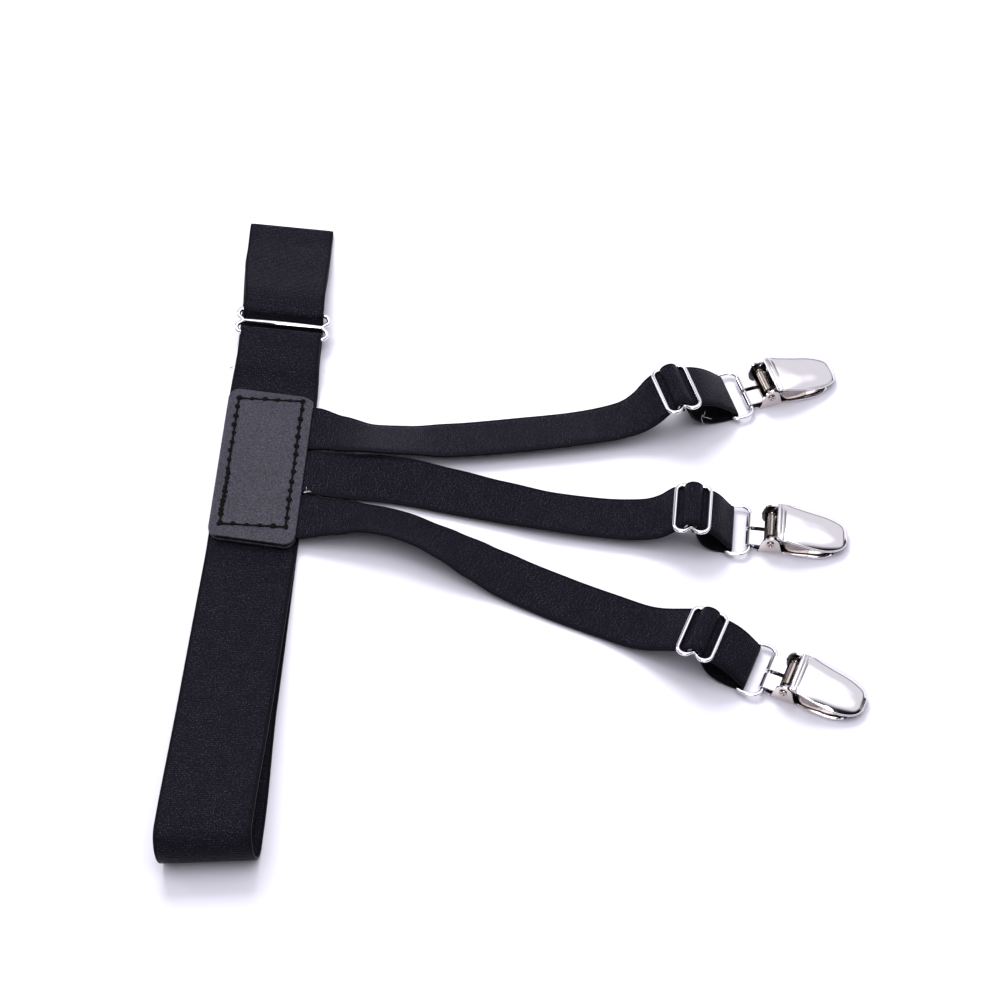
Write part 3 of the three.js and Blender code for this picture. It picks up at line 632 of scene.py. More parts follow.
def rgba(colour, shade=1.0):
    """A colour at a share of its strength, as a socket takes it."""
    return (*[part * shade for part in colour], 1)


def woven_elastic(sizes, colours):
    """Polyester-covered elastic webbing, needle-woven: dull black, with light specks painted on its floats as
    glints and its crosswise ribs painted darker in their valleys as shade.
    """
    material, tree = new_material("Woven polyester elastic")
    weave = add_node(tree, "ShaderNodeUVMap", uv_map="weave")
    selvage = add_node(tree, "ShaderNodeAttribute", output="Fac", attribute_name="selvage")
    body = add_node(tree, "ShaderNodeMath", {0: 1.0, 1: selvage}, operation="SUBTRACT", use_clamp=True)
    # Ribs lie 0.5 mm apart on the real webbing and are drawn twice as far apart to show. A wave texture
    # goes through 20 radians for each unit of its scale.
    rib_scale = 2 * math.pi / (20 * sizes.rib_pitch)
    ribs = add_node(tree, "ShaderNodeTexWave", {
        "Vector": weave, "Scale": rib_scale, "Distortion": 0.6, "Detail": 1.0, "Detail Scale": 1.5,
    }, "Fac", bands_direction="Y")
    # The warp floats, 0.3 mm long on the real webbing and drawn about 0.7 mm long, get painted glints: short
    # light specks as painted highlight
    stretched = add_node(tree, "ShaderNodeMapping", {"Vector": weave, "Scale": (1.3, 0.9, 1.0)})
    specks = add_node(tree, "ShaderNodeTexNoise", {
        "Vector": stretched, "Scale": 1 / sizes.speck_size, "Detail": 2.0, "Roughness": 0.65}, "Fac")
    glint = add_node(tree, "ShaderNodeMapRange", {
        "Value": specks, "From Min": 0.54, "From Max": 0.62, "To Min": 0.0, "To Max": 1.0})
    glint = add_node(tree, "ShaderNodeMath", {0: glint, 1: body}, operation="MULTIPLY")
    clouds = add_node(tree, "ShaderNodeTexNoise", {"Vector": weave, "Scale": 140.0, "Detail": 2.0}, "Fac")
    light = add_node(tree, "ShaderNodeMath", {0: clouds, 1: 0.8, 2: 0.1}, operation="MULTIPLY_ADD")
    share = add_node(tree, "ShaderNodeMath", {0: glint, 1: light}, operation="MULTIPLY", use_clamp=True)
    # The valleys between the ribs are painted darker with a shaded copy of the webbing colour: painted shade
    valleys = add_node(tree, "ShaderNodeMath", {0: 1.0, 1: ribs}, operation="SUBTRACT")
    between = add_node(tree, "ShaderNodeMath", {0: valleys, 1: 0.6}, operation="MULTIPLY")
    floats = add_node(tree, "ShaderNodeMix", {
        "Factor": share, 6: rgba(colours.webbing), 7: rgba(colours.webbing_painted_glint)}, 2, data_type="RGBA")
    base = add_node(tree, "ShaderNodeMix", {
        "Factor": between, 6: floats, 7: rgba(colours.webbing, 0.45)}, 2, data_type="RGBA")
    colour = add_node(tree, "ShaderNodeMix", {
        "Factor": selvage, 6: base, 7: rgba(colours.selvage)}, 2, data_type="RGBA")
    rough = add_node(tree, "ShaderNodeMapRange", {
        "Value": glint, "From Min": 0.0, "From Max": 1.0, "To Min": 0.44, "To Max": 0.3})
    low_ribs = add_node(tree, "ShaderNodeMath", {0: ribs, 1: 0.3}, operation="MULTIPLY")
    relief = add_node(tree, "ShaderNodeMath", {0: low_ribs, 1: specks}, operation="ADD")
    height = add_node(tree, "ShaderNodeMath", {0: relief, 1: body}, operation="MULTIPLY")
    bump = add_node(tree, "ShaderNodeBump", {"Height": height, "Strength": 0.8, "Distance": 0.00035})
    shader = add_node(tree, "ShaderNodeBsdfPrincipled", {
        "Base Color": colour, "Roughness": rough, "Normal": bump, "Specular IOR Level": 0.07,
        "Specular Tint": (0.85, 0.83, 1.0, 1)})
    add_node(tree, "ShaderNodeOutputMaterial", {"Surface": shader})
    return material


def grained_leather(sizes, colours):
    """Corrected-grain cowhide, pressed and lightly waxed: charcoal, pebbled, with a soft sheen; its tone is
    rubbed lighter at random, and its pebble crowns and raised pores are painted lighter as highlight, with
    the valleys between them left darker as painted shade.
    """
    material, tree = new_material("Pressed grain leather")
    place = add_node(tree, "ShaderNodeTexCoord", output="Object")
    bent = add_node(tree, "ShaderNodeTexNoise", {"Vector": place, "Scale": 900.0, "Detail": 1.0}, "Color")
    small = add_node(tree, "ShaderNodeVectorMath", {0: bent, "Scale": 0.0005}, operation="SCALE")
    warped = add_node(tree, "ShaderNodeVectorMath", {0: place, 1: small}, operation="ADD")
    # Pebbles are 0.4 mm on the real hide and drawn at twice that
    pebbles = add_node(tree, "ShaderNodeTexVoronoi", {
        "Vector": warped, "Scale": 1 / sizes.grain_size}, "Distance", feature="SMOOTH_F1")
    pores = add_node(tree, "ShaderNodeTexNoise", {
        "Vector": place, "Scale": 1800.0, "Detail": 1.0, "Roughness": 0.6}, "Fac")
    rubbed = add_node(tree, "ShaderNodeTexNoise", {
        "Vector": place, "Scale": 70.0, "Detail": 4.0, "Roughness": 0.6}, "Fac")
    # Pebble crowns and raised pores are painted lighter and the valleys darker: painted highlight and painted
    # shade
    highlit_tops = add_node(tree, "ShaderNodeMapRange", {
        "Value": pebbles, "From Min": 0.2, "From Max": 0.62, "To Min": 1.0, "To Max": 0.6})
    highlit_pores = add_node(tree, "ShaderNodeMapRange", {
        "Value": pores, "From Min": 0.42, "From Max": 0.6, "To Min": 0.08, "To Max": 1.0})
    tone = add_node(tree, "ShaderNodeMapRange", {
        "Value": rubbed, "From Min": 0.3, "From Max": 0.7, "To Min": 0.75, "To Max": 1.0})
    grain = add_node(tree, "ShaderNodeMath", {0: highlit_tops, 1: highlit_pores}, operation="MULTIPLY")
    share = add_node(tree, "ShaderNodeMath", {0: grain, 1: tone}, operation="MULTIPLY", use_clamp=True)
    colour = add_node(tree, "ShaderNodeMix", {
        "Factor": share, 6: rgba(colours.leather), 7: rgba(colours.leather_rubbed_and_highlit)}, 2, data_type="RGBA")
    low_pores = add_node(tree, "ShaderNodeMath", {0: pores, 1: 0.8}, operation="MULTIPLY")
    height = add_node(tree, "ShaderNodeMath", {0: low_pores, 1: pebbles}, operation="SUBTRACT")
    bump = add_node(tree, "ShaderNodeBump", {"Height": height, "Strength": 0.9, "Distance": 0.0004})
    rough = add_node(tree, "ShaderNodeMapRange", {
        "Value": rubbed, "From Min": 0.3, "From Max": 0.7, "To Min": 0.34, "To Max": 0.46})
    shader = add_node(tree, "ShaderNodeBsdfPrincipled", {
        "Base Color": colour, "Roughness": rough, "Normal": bump, "Specular IOR Level": 0.42})
    add_node(tree, "ShaderNodeOutputMaterial", {"Surface": shader})
    return material


def sewing_thread(name, colour):
    """Bonded polyester thread, twisted from three plies: matt, with a faint slanting rib."""
    material, tree = new_material(name)
    place = add_node(tree, "ShaderNodeTexCoord", output="Object")
    plies = add_node(tree, "ShaderNodeTexWave", {
        "Vector": place, "Scale": 420.0, "Distortion": 1.0}, "Fac", bands_direction="DIAGONAL")
    bump = add_node(tree, "ShaderNodeBump", {"Height": plies, "Strength": 0.6, "Distance": 0.00012})
    # The grooves between the plies are painted darker: painted shade
    shade = add_node(tree, "ShaderNodeMix", {
        "Factor": plies, 6: rgba(colour, 0.7), 7: rgba(colour)}, 2, data_type="RGBA")
    shader = add_node(tree, "ShaderNodeBsdfPrincipled", {
        "Base Color": shade, "Roughness": 0.75, "Normal": bump, "Specular IOR Level": 0.12})
    add_node(tree, "ShaderNodeOutputMaterial", {"Surface": shader})
    return material


def nickel_plate(name, colour, smooth, rough):
    """Bright nickel electroplated on steel wire or sheet: mirror-like, a shade warmer than chrome."""
    material, tree = new_material(name)
    place = add_node(tree, "ShaderNodeTexCoord", output="Object")
    haze = add_node(tree, "ShaderNodeTexNoise", {
        "Vector": place, "Scale": 260.0, "Detail": 3.0, "Roughness": 0.6}, "Fac")
    roughness = add_node(tree, "ShaderNodeMapRange", {
        "Value": haze, "From Min": 0.3, "From Max": 0.75, "To Min": smooth, "To Max": rough})
    # Polishing lines are microns apart and are drawn at a few tenths of a millimetre
    drawn_out = add_node(tree, "ShaderNodeMapping", {"Vector": place, "Scale": (1.0, 0.15, 1.0)})
    lines = add_node(tree, "ShaderNodeTexNoise", {"Vector": drawn_out, "Scale": 2400.0, "Detail": 2.0}, "Fac")
    bump = add_node(tree, "ShaderNodeBump", {"Height": lines, "Strength": 0.08, "Distance": 0.00003})
    tint = add_node(tree, "ShaderNodeMix", {
        "Factor": haze, 6: rgba(colour, 0.94), 7: rgba(colour)}, 2, data_type="RGBA")
    shader = add_node(tree, "ShaderNodeBsdfPrincipled", {
        "Base Color": tint, "Metallic": 1.0, "Roughness": roughness, "Normal": bump})
    add_node(tree, "ShaderNodeOutputMaterial", {"Surface": shader})
    return material


def matt_floor(colours):
    """Smooth matt card, a seamless white sweep."""
    material, tree = new_material("Matt white card")
    place = add_node(tree, "ShaderNodeTexCoord", output="Object")
    grain = add_node(tree, "ShaderNodeTexNoise", {"Vector": place, "Scale": 3.0, "Detail": 1.0}, "Fac")
    tint = add_node(tree, "ShaderNodeMix", {
        "Factor": grain, 6: rgba(colours.floor, 0.99), 7: rgba(colours.floor)}, 2, data_type="RGBA")
    shader = add_node(tree, "ShaderNodeBsdfPrincipled", {
        "Base Color": tint, "Roughness": 0.9, "Specular IOR Level": 0.1})
    add_node(tree, "ShaderNodeOutputMaterial", {"Surface": shader})
    return material


# The materials and the wire trees made so far, by name
MADE = {}


def finish(name):
    """One of the finishes, made when it is first asked for."""
    sizes, colours = bpy.context.scene.stay_sizes, bpy.context.scene.stay_colours
    makers = {
        "webbing": lambda: woven_elastic(sizes, colours),
        "leather": lambda: grained_leather(sizes, colours),
        "thread": lambda: sewing_thread("Black polyester thread", colours.thread),
        "fluff": lambda: sewing_thread("Loose white polyester thread", colours.fluff),
        "nickel": lambda: nickel_plate("Bright nickel plate", colours.nickel, 0.04, 0.1),
        "inner": lambda: nickel_plate("Nickel plate over unpolished steel", colours.inner_nickel, 0.16, 0.3),
        "warm": lambda: nickel_plate("Satin nickel plate", colours.warm_nickel, 0.14, 0.24),
        # Dark, rough nickel that paints the shade inside the clips
        "dull": lambda: nickel_plate("Nickel darkened as painted shade inside the clips", colours.painted_shade_nickel, 0.25, 0.45),
        "floor": lambda: matt_floor(colours),
    }
    if name not in MADE:
        MADE[name] = makers[name]()
    return MADE[name]


# Geometry Nodes

def new_tree(name, inputs):
    """A geometry tree with named inputs, and what its group input gives."""
    tree = bpy.data.node_groups.new(name, "GeometryNodeTree")
    tree.interface.new_socket("Geometry", in_out="INPUT", socket_type="NodeSocketGeometry")
    tree.interface.new_socket("Geometry", in_out="OUTPUT", socket_type="NodeSocketGeometry")
    for key, kind in inputs.items():
        tree.interface.new_socket(key, in_out="INPUT", socket_type=kind)
    return tree, tree.nodes.new("NodeGroupInput").outputs


def run_tree(piece, tree, values):
    """Puts a tree on a piece with its inputs set, and keeps only the mesh that it makes."""
    modifier = piece.modifiers.new(tree.name, "NODES")
    modifier.node_group = tree
    for item in tree.interface.items_tree:
        if item.in_out == "INPUT" and item.name in values:
            modifier[item.identifier] = values[item.name]
    return plain_mesh(piece)


def wire_tree(material):
    """Round wire or thread along each path, as thick as the path's own radius says."""
    tree, given = new_tree("Wire along paths", {"Sides": "NodeSocketInt", "Thickness": "NodeSocketFloat"})
    curve = add_node(tree, "GeometryNodeMeshToCurve", {"Mesh": given["Geometry"]})
    radius = add_node(
        tree, "GeometryNodeInputNamedAttribute", {"Name": "radius"}, "Attribute", data_type="FLOAT")
    scaled = add_node(tree, "ShaderNodeMath", {0: radius, 1: given["Thickness"]}, operation="MULTIPLY")
    circle = add_node(tree, "GeometryNodeCurvePrimitiveCircle", {"Resolution": given["Sides"], "Radius": 1.0})
    swept = add_node(tree, "GeometryNodeCurveToMesh", {
        "Curve": curve, "Profile Curve": circle, "Scale": scaled, "Fill Caps": True})
    smooth = add_node(tree, "GeometryNodeSetShadeSmooth", {"Geometry": swept})
    real = add_node(tree, "GeometryNodeRealizeInstances", {"Geometry": smooth})
    coated = add_node(tree, "GeometryNodeSetMaterial", {"Geometry": real, "Material": material})
    add_node(tree, "NodeGroupOutput", {"Geometry": coated})
    return tree


def knot_tree(material):
    """A flattened knot of thread at each stitch hole along each path."""
    tree, given = new_tree("Sewn knots", {
        "Stitch Pitch": "NodeSocketFloat", "Knot Length": "NodeSocketFloat",
        "Slant": "NodeSocketFloat", "Seed": "NodeSocketInt"})
    curve = add_node(tree, "GeometryNodeMeshToCurve", {"Mesh": given["Geometry"]})
    holes = add_node(tree, "GeometryNodeResampleCurve", {
        "Curve": curve, "Length": given["Stitch Pitch"]}, mode="LENGTH")
    # How far a knot strays from its hole, in metres
    stray = add_node(tree, "FunctionNodeRandomValue", {
        0: (-0.00035, -0.0004, 0.00005), 1: (0.00035, 0.0004, 0.0003), "Seed": given["Seed"]},
        data_type="FLOAT_VECTOR")
    uneven = add_node(tree, "GeometryNodeSetPosition", {"Geometry": holes, "Offset": stray})
    tangent = add_node(tree, "GeometryNodeInputTangent")
    facing = add_node(
        tree, "FunctionNodeAlignRotationToVector", {"Vector": tangent}, axis="X", pivot_axis="Z")
    jitter = add_node(tree, "FunctionNodeRandomValue", {
        2: -0.25, 3: 0.25, "Seed": given["Seed"]}, 1, data_type="FLOAT")
    angle = add_node(tree, "ShaderNodeMath", {0: given["Slant"], 1: jitter}, operation="ADD")
    slant = add_node(tree, "FunctionNodeAxisAngleToRotation", {"Axis": (0, 0, 1), "Angle": angle})
    turned = add_node(tree, "FunctionNodeRotateRotation", {
        "Rotation": facing, "Rotate By": slant}, rotation_space="LOCAL")
    ball = add_node(tree, "GeometryNodeMeshUVSphere", {"Segments": 12, "Rings": 8, "Radius": 0.5})
    knot = add_node(tree, "GeometryNodeTransform", {"Geometry": ball, "Scale": (1.0, 0.86, 0.42)})
    grown = add_node(tree, "FunctionNodeRandomValue", {
        2: 0.85, 3: 1.15, "Seed": given["Seed"]}, 1, data_type="FLOAT")
    size = add_node(tree, "ShaderNodeMath", {0: given["Knot Length"], 1: grown}, operation="MULTIPLY")
    knots = add_node(tree, "GeometryNodeInstanceOnPoints", {
        "Points": uneven, "Instance": knot, "Rotation": turned, "Scale": size})
    real = add_node(tree, "GeometryNodeRealizeInstances", {"Geometry": knots})
    smooth = add_node(tree, "GeometryNodeSetShadeSmooth", {"Geometry": real})
    coated = add_node(tree, "GeometryNodeSetMaterial", {"Geometry": smooth, "Material": material})
    add_node(tree, "NodeGroupOutput", {"Geometry": coated})
    return tree


def path_piece(name, paths):
    """An object of bare edges. Each path is points in millimetres, its radii, and whether it closes."""
    points, edges, radii = [], [], []
    for path, radius, closed in paths:
        base, count = len(points), len(path)
        points += [tuple(np.asarray(p, float) * MM) for p in path]
        radii += list(np.broadcast_to(np.asarray(radius, float) * MM, (count,)))
        edges += [(base + i, base + (i + 1) % count) for i in range(count if closed else count - 1)]
    mesh = bpy.data.meshes.new(name)
    mesh.from_pydata(points, edges, [])
    mark = mesh.attributes.new("radius", "FLOAT", "POINT")
    mark.data.foreach_set("value", np.array(radii, float))
    piece = bpy.data.objects.new(name, mesh)
    bpy.context.scene.collection.objects.link(piece)
    return piece


def wire_piece(name, paths, material_name, sides=16):
    """Wire or thread swept along paths, as a plain mesh."""
    material = finish(material_name)
    key = "tree " + material_name
    if key not in MADE:
        MADE[key] = wire_tree(material)
    piece = run_tree(path_piece(name, paths), MADE[key], {"Sides": sides, "Thickness": 1.0})
    piece.data.shade_smooth()
    piece.data.set_sharp_from_angle(angle=math.radians(50))
    return piece


# Leather patch

# The row of stitches round the patch, square to the leg band
STITCH_LEFT, STITCH_RIGHT = -14.9, 14.3
STITCH_NEAR, STITCH_FAR = -35.3, 35.1


def stitch_distance(x, y):
    """How far a place is outside the stitched rectangle, less than nought inside it."""
    return np.maximum.reduce([STITCH_LEFT - x, x - STITCH_RIGHT, STITCH_NEAR - y, y - STITCH_FAR])


# The cover's left, far and near borders sag where no strap lies under them: the way each one faces, where
# its slope starts, how wide the slope is, and how far it falls
BORDER_SAGS = (((-1, 0), 14.2, 4.2, 1.4), ((0, 1), 33.9, 4.5, 1.3), ((0, -1), 39.4, 3, 0.4))
# The dents over the gaps between the straps: depth, width, and where along X they start and are full
DENT_DEPTH, DENT_WIDTH = 0.22, 1.6
DENT_START, DENT_FULL = 4, 14


def leather_sag(x, y):
    """How far the cover falls towards the lining where no strap lies between them."""
    borders = [depth * ease(way_x * x + way_y * y - start, 0, slope)
               for (way_x, way_y), start, slope, depth in BORDER_SAGS]
    dents = 0
    for gap in (LANE_OFFSET - LANE_PITCH / 2, LANE_OFFSET + LANE_PITCH / 2):
        dent = DENT_DEPTH * np.exp(-((y - gap) / DENT_WIDTH) ** 2) * ease(x, DENT_START, DENT_FULL)
        dents = np.maximum(dents, dent)
    return np.maximum.reduce(borders) + dents


# The puffed middle: its height all over, the height of a crest along it, how far the crest leans in X for
# each millimetre of Y, its width, over how much of Y it fades, and how far inside the stitches it is full
PUFF_HEIGHT, CREST_HEIGHT = 0.25, 1.15
CREST_LEAN, CREST_WIDTH, CREST_FADE = 0.12, 8, 30
PUFF_REACH = 8
# The groove that the stitches pull into the cover, and the border's lip outside it
GROOVE_DEPTH, GROOVE_WIDTH = 0.34, 0.85
LIP = 0.05


def leather_relief(x, y, pitch):
    """The cover's puffed middle and the groove that its stitches pull, above its flat top."""
    out = stitch_distance(x, y)
    crest = np.exp(-((x - CREST_LEAN * y) / CREST_WIDTH) ** 2) * (1 - 0.5 * ease(y, 0, CREST_FADE))
    puff = (PUFF_HEIGHT + CREST_HEIGHT * crest) * ease(-out, 0.3, PUFF_REACH)
    across_side = np.minimum(abs(x - STITCH_LEFT), abs(x - STITCH_RIGHT)) < 2
    run = np.where(across_side, y - STITCH_NEAR, x - STITCH_LEFT)
    pull = 0.72 + 0.28 * np.cos(2 * math.pi * run / pitch)
    groove = GROOVE_DEPTH * pull * np.exp(-(out / GROOVE_WIDTH) ** 2)
    return puff - groove + LIP * ease(out, 0.5, 2.5)


def patch_place(x, y):
    """A place on the square-cut patch moved to where its skewed cut puts it."""
    ends = np.clip(y / (PATCH_HEIGHT / 2), -1, 1) ** 2
    return x + PATCH_OFFSET[0], y - PATCH_SKEW * ends * x / PATCH_WIDTH + PATCH_OFFSET[1]


def spread_marks(half, near_edge, step):
    """Places from one edge to the other, closest near the edges."""
    inner = half - near_edge[-1]
    count = int(2 * inner / step)
    middle = np.linspace(-inner, inner, count + 1)[1:-1]
    edge = half - np.array(near_edge)
    return np.concatenate([-edge, middle, edge[::-1]])


# How far in the rounding of a cut edge of leather reaches
EDGE_ROUND = 0.42
# Insets of the grid's lines near the edge, and the wall's share of height with how deep its lines cut
EDGE_MARKS = (0, 0.06, 0.16, 0.32, 0.55, 0.9, 1.4)
WALL_MARKS = (
    (0.12, 0.02), (0.3, 0), (0.36, 0.13), (0.42, 0), (0.58, 0), (0.64, 0.13), (0.7, 0), (0.88, 0.02),
)


def patch_ply(bottom, sag, relief, step):
    """One ply of leather with rounded, lined edges, as points and faces."""
    half_width, half_height, corner = PATCH_WIDTH / 2, PATCH_HEIGHT / 2, PATCH_CORNER
    ys = spread_marks(half_height, EDGE_MARKS, step)
    across = spread_marks(half_width, EDGE_MARKS, step) / half_width
    over = np.maximum(abs(ys) - (half_height - corner), 0)
    widths = half_width - corner + np.sqrt(corner ** 2 - over ** 2)
    x = across[None, :] * widths[:, None]
    y = np.repeat(ys[:, None], len(across), axis=1)
    beyond = np.hypot(np.maximum(abs(x) - (half_width - corner), 0),
                      np.maximum(abs(y) - (half_height - corner), 0))
    inside = np.where(beyond > 0, corner - beyond, np.minimum(half_width - abs(x), half_height - abs(y)))
    edge = np.clip(1 - inside / EDGE_ROUND, 0, 1)
    fall = EDGE_ROUND * (1 - np.sqrt(np.maximum(1 - edge ** 2, 0)))
    px, py = patch_place(x, y)
    lowered = sag(px, py)
    top = bottom + PLY - lowered + relief(px, py) - fall
    under = bottom - lowered + fall
    rows, columns = x.shape
    count = rows * columns
    points = [np.column_stack([px.ravel(), py.ravel(), top.ravel()]),
              np.column_stack([px.ravel(), py.ravel(), under.ravel()])]
    faces = grid_faces(rows, columns)
    faces += [tuple(reversed([i + count for i in face])) for face in faces]
    rim = grid_rim(rows, columns)
    flat_x, flat_y = x.ravel()[rim], y.ravel()[rim]
    out = np.column_stack([flat_x - np.clip(flat_x, corner - half_width, half_width - corner),
                           flat_y - np.clip(flat_y, corner - half_height, half_height - corner)])
    out /= np.maximum(np.linalg.norm(out, axis=1), 1e-9)[:, None]
    high, low = points[0][rim], points[1][rim]
    ring = list(rim)
    base = 2 * count
    for share, cut in WALL_MARKS:
        level = high + (low - high) * share
        level[:, :2] -= out * cut
        points.append(level)
        following = list(range(base, base + len(rim)))
        faces += [(ring[i], ring[i - 1], following[i - 1], following[i]) for i in range(len(rim))]
        ring = following
        base += len(rim)
    last = [i + count for i in rim]
    faces += [(ring[i], ring[i - 1], last[i - 1], last[i]) for i in range(len(rim))]
    return np.vstack(points), faces


def cover_top(x, y, pitch):
    """The height of the leather cover's upper face."""
    x, y = np.asarray(x, float), np.asarray(y, float)
    return PATCH_Z + PLY - leather_sag(x, y) + leather_relief(x, y, pitch)


def stitch_sides():
    """The four sides of the stitched rectangle, and the overlap of its ends on the left side."""
    a, b, c, d = STITCH_LEFT, STITCH_RIGHT, STITCH_NEAR, STITCH_FAR
    sides = [((a, c), (b, c)), ((b, c), (b, d)), ((b, d), (a, d)), ((a, d), (a, c))]
    return sides, ((a + 0.45, -8.0), (a + 0.1, -27.5))


# How closely the two plies are drawn, and how high the thread lies at a hole, arches between two holes,
# and is knotted
COVER_GRID, LINING_GRID = 0.55, 2.5
THREAD_LIFT, THREAD_ARCH, KNOT_LIFT = 0.02, 0.2, 0.14


# Wire shapes, lying in X and Y

def slide_paths(width, length, wire, bulge):
    """A slide's frame with a pinch at the middle of each end, and its middle bar."""
    half_length, half_width = (length - wire) / 2, (width - wire) / 2
    corner = half_length * 0.42
    dip_half = half_length - corner
    bend = np.radians(np.linspace(0, 90, 9))
    end = [(dip_half + corner * math.cos(t), half_width - corner + corner * math.sin(t)) for t in bend]
    for x in np.linspace(dip_half, -dip_half, 25)[1:-1]:
        end.append((x, half_width - SLIDE_NOTCH * math.cos(0.5 * math.pi * x / dip_half) ** 3))
    end += [(-x, y) for x, y in reversed(end[:9])]
    loop = [(x, y, 0) for x, y in end] + [(-x, -y, 0) for x, y in end]
    bar_half = half_width - SLIDE_NOTCH
    bar = [(0, y, 0) for y in np.linspace(-bar_half, bar_half, 25)]
    thick = [wire * 0.47 * (1 + bulge * math.cos(0.5 * math.pi * y / bar_half)) for _, y, _ in bar]
    return [(loop, wire / 2, True), (bar, thick, False)]


def ring_path():
    """A ring: tight corners at the strap's bar, wide ones at the clip's."""
    span, half_width = RING_LENGTH - RING_WIRE, (RING_WIDTH - RING_WIRE) / 2
    tight, wide = RING_TIGHT_CORNER, RING_WIDE_CORNER
    corners = ((span - wide, half_width - wide, wide, 0), (tight, half_width - tight, tight, 90),
               (tight, tight - half_width, tight, 180), (span - wide, wide - half_width, wide, 270))
    loop = []
    for x, y, radius, start in corners:
        loop += [(a, b, 0) for a, b in arc(x, y, radius, start, start + 90, 8)]
    return [(loop, RING_WIRE / 2, True)]


def carried(paths, matrix):
    """Paths carried by a matrix."""
    return [(moved(path, matrix), radius, closed) for path, radius, closed in paths]


# Clip, along X from its ring's bar with its floor at nought

EAR_FACE = CLIP_WIDTH / 2
PIN_HOLE = PIN_DIAMETER + 2 * WIRE_CLEARANCE
ARM_FACE = EAR_FACE - SHEET - WIRE_CLEARANCE
BARREL_FACE = ARM_FACE - SHEET - WIRE_CLEARANCE
BARREL_RADIUS = PIN_HOLE / 2 + SHEET
BARREL_REACH = BARREL_FACE - 1.9
# The floor's end short of the cover's, the height of its turned-up lip, and the lip's start and end
# before and beyond the floor's end
FLOOR_SETBACK = 3.4
FLOOR_LIP = 1.3
LIP_START, LIP_END = 4.2, 1.2
# How far the floor's side edges turn up, and between which places along the clip that grows
FLOOR_CURL = 0.35
CURL_START, CURL_FULL = 16, 22
# The cover's rolled rim: radius, how far under the sheet's middle it lies, and the spacing of its points
RIM_RADIUS = 0.58
RIM_DROP = 0.12
RIM_SPACING = 0.45
# The pressed lines behind the cover's hem, groove, ridge and step: place along the clip, width, height
HEM_LINES = ((12.95, 0.32, -0.3), (13.75, 0.45, 0.3), (14.6, 0.35, -0.28))

# Shares of the way along, of the half width, and of the cover's height at crown and edge
COVER_TABLE = (
    (0, 0.98, 0.96, 0.92), (0.1, 1, 0.98, 0.87), (0.3, 1.04, 0.92, 0.72), (0.5, 1.05, 0.8, 0.55),
    (0.7, 1.01, 0.66, 0.4), (0.84, 0.87, 0.53, 0.32), (0.93, 0.69, 0.42, 0.28),
    (0.98, 0.46, 0.31, 0.26), (1, 0.3, 0.26, 0.25),
)
JAW_TABLE = (
    (0, 1, 0.38, 0.38), (0.2, 1, 0.31, 0.38), (0.4, 1.05, 0.22, 0.35), (0.6, 1.1, 0.16, 0.26),
    (0.8, 1.05, 0.14, 0.18), (0.94, 0.75, 0.14, 0.14), (1, 0.45, 0.14, 0.14),
)
FLOOR_TABLE = ((0, 1), (0.31, 1), (0.5, 1.09), (0.7, 1.15), (0.84, 1.08), (0.94, 0.82), (1, 0.45))
# The jaw's side wings and its front cheeks: place along the clip, heights of the bottom and top edges,
# and distance from the middle
WING_TABLE = (
    (13.4, 4.4, 5.5, 6.9), (15, 3.0, 5.9, 7.3), (16.8, 1.5, 7.2, 8.2), (18.8, 1.4, 7.8, 8.7),
    (21.5, 1.4, 7.2, 8.9), (24.5, 1.4, 5.9, 8.9), (27.5, 1.4, 4.2, 8.7), (29, 1.4, 3.4, 8.6),
)
CHEEK_TABLE = (
    (26.2, 1.6, 4.6, 9.0), (28.5, 1.6, 5.3, 9.05), (31, 1.6, 4.6, 8.9), (33.6, 1.7, 3.8, 8.3),
    (35.8, 1.9, 3.1, 7.4), (37.6, 2.2, 2.8, 6.2),
)


def sheet_rows(table, from_x, to_x, half_width, height, samples):
    """A table of shares made into close rows of x, half width, crown and edge."""
    rows = np.array([(from_x + (to_x - from_x) * a, half_width * b, height * c, height * d)
                     for a, b, c, d in table])
    return rail(rows, samples)[0]


def pressed(rows, across_steps, ridge=None):
    """The middle of a pressed sheet as a grid of points."""
    grid = []
    for x, half, crown, edge in rows:
        lift = ridge(x) if ridge else 0
        row = []
        for share in np.linspace(-1, 1, across_steps + 1):
            across = math.sin(share * math.pi / 2)
            row.append((x, half * across, crown + (edge - crown) * abs(across) ** 3 + lift))
        grid.append(row)
    return np.array(grid)


def cover_ridge(x):
    """How the pressed lines behind the cover's hem lift its sheet."""
    return sum(height * math.exp(-((x - place) / width) ** 2) for place, width, height in HEM_LINES)


def standing(y0):
    """A place function for plates that stand along the clip."""
    return lambda a, b, depth: (a, y0 + depth, b)


def around_pin(profile, sides, closed=False):
    """A shape turned round the pin's axis from pairs of radius and place across the clip."""
    turns = np.linspace(0, 2 * math.pi, sides, endpoint=False)
    points = [(PIN_SETBACK + radius * math.cos(turn), y, PIN_HEIGHT + radius * math.sin(turn))
              for radius, y in profile for turn in turns]
    return np.array(points), loop_faces(len(profile), sides, closed)


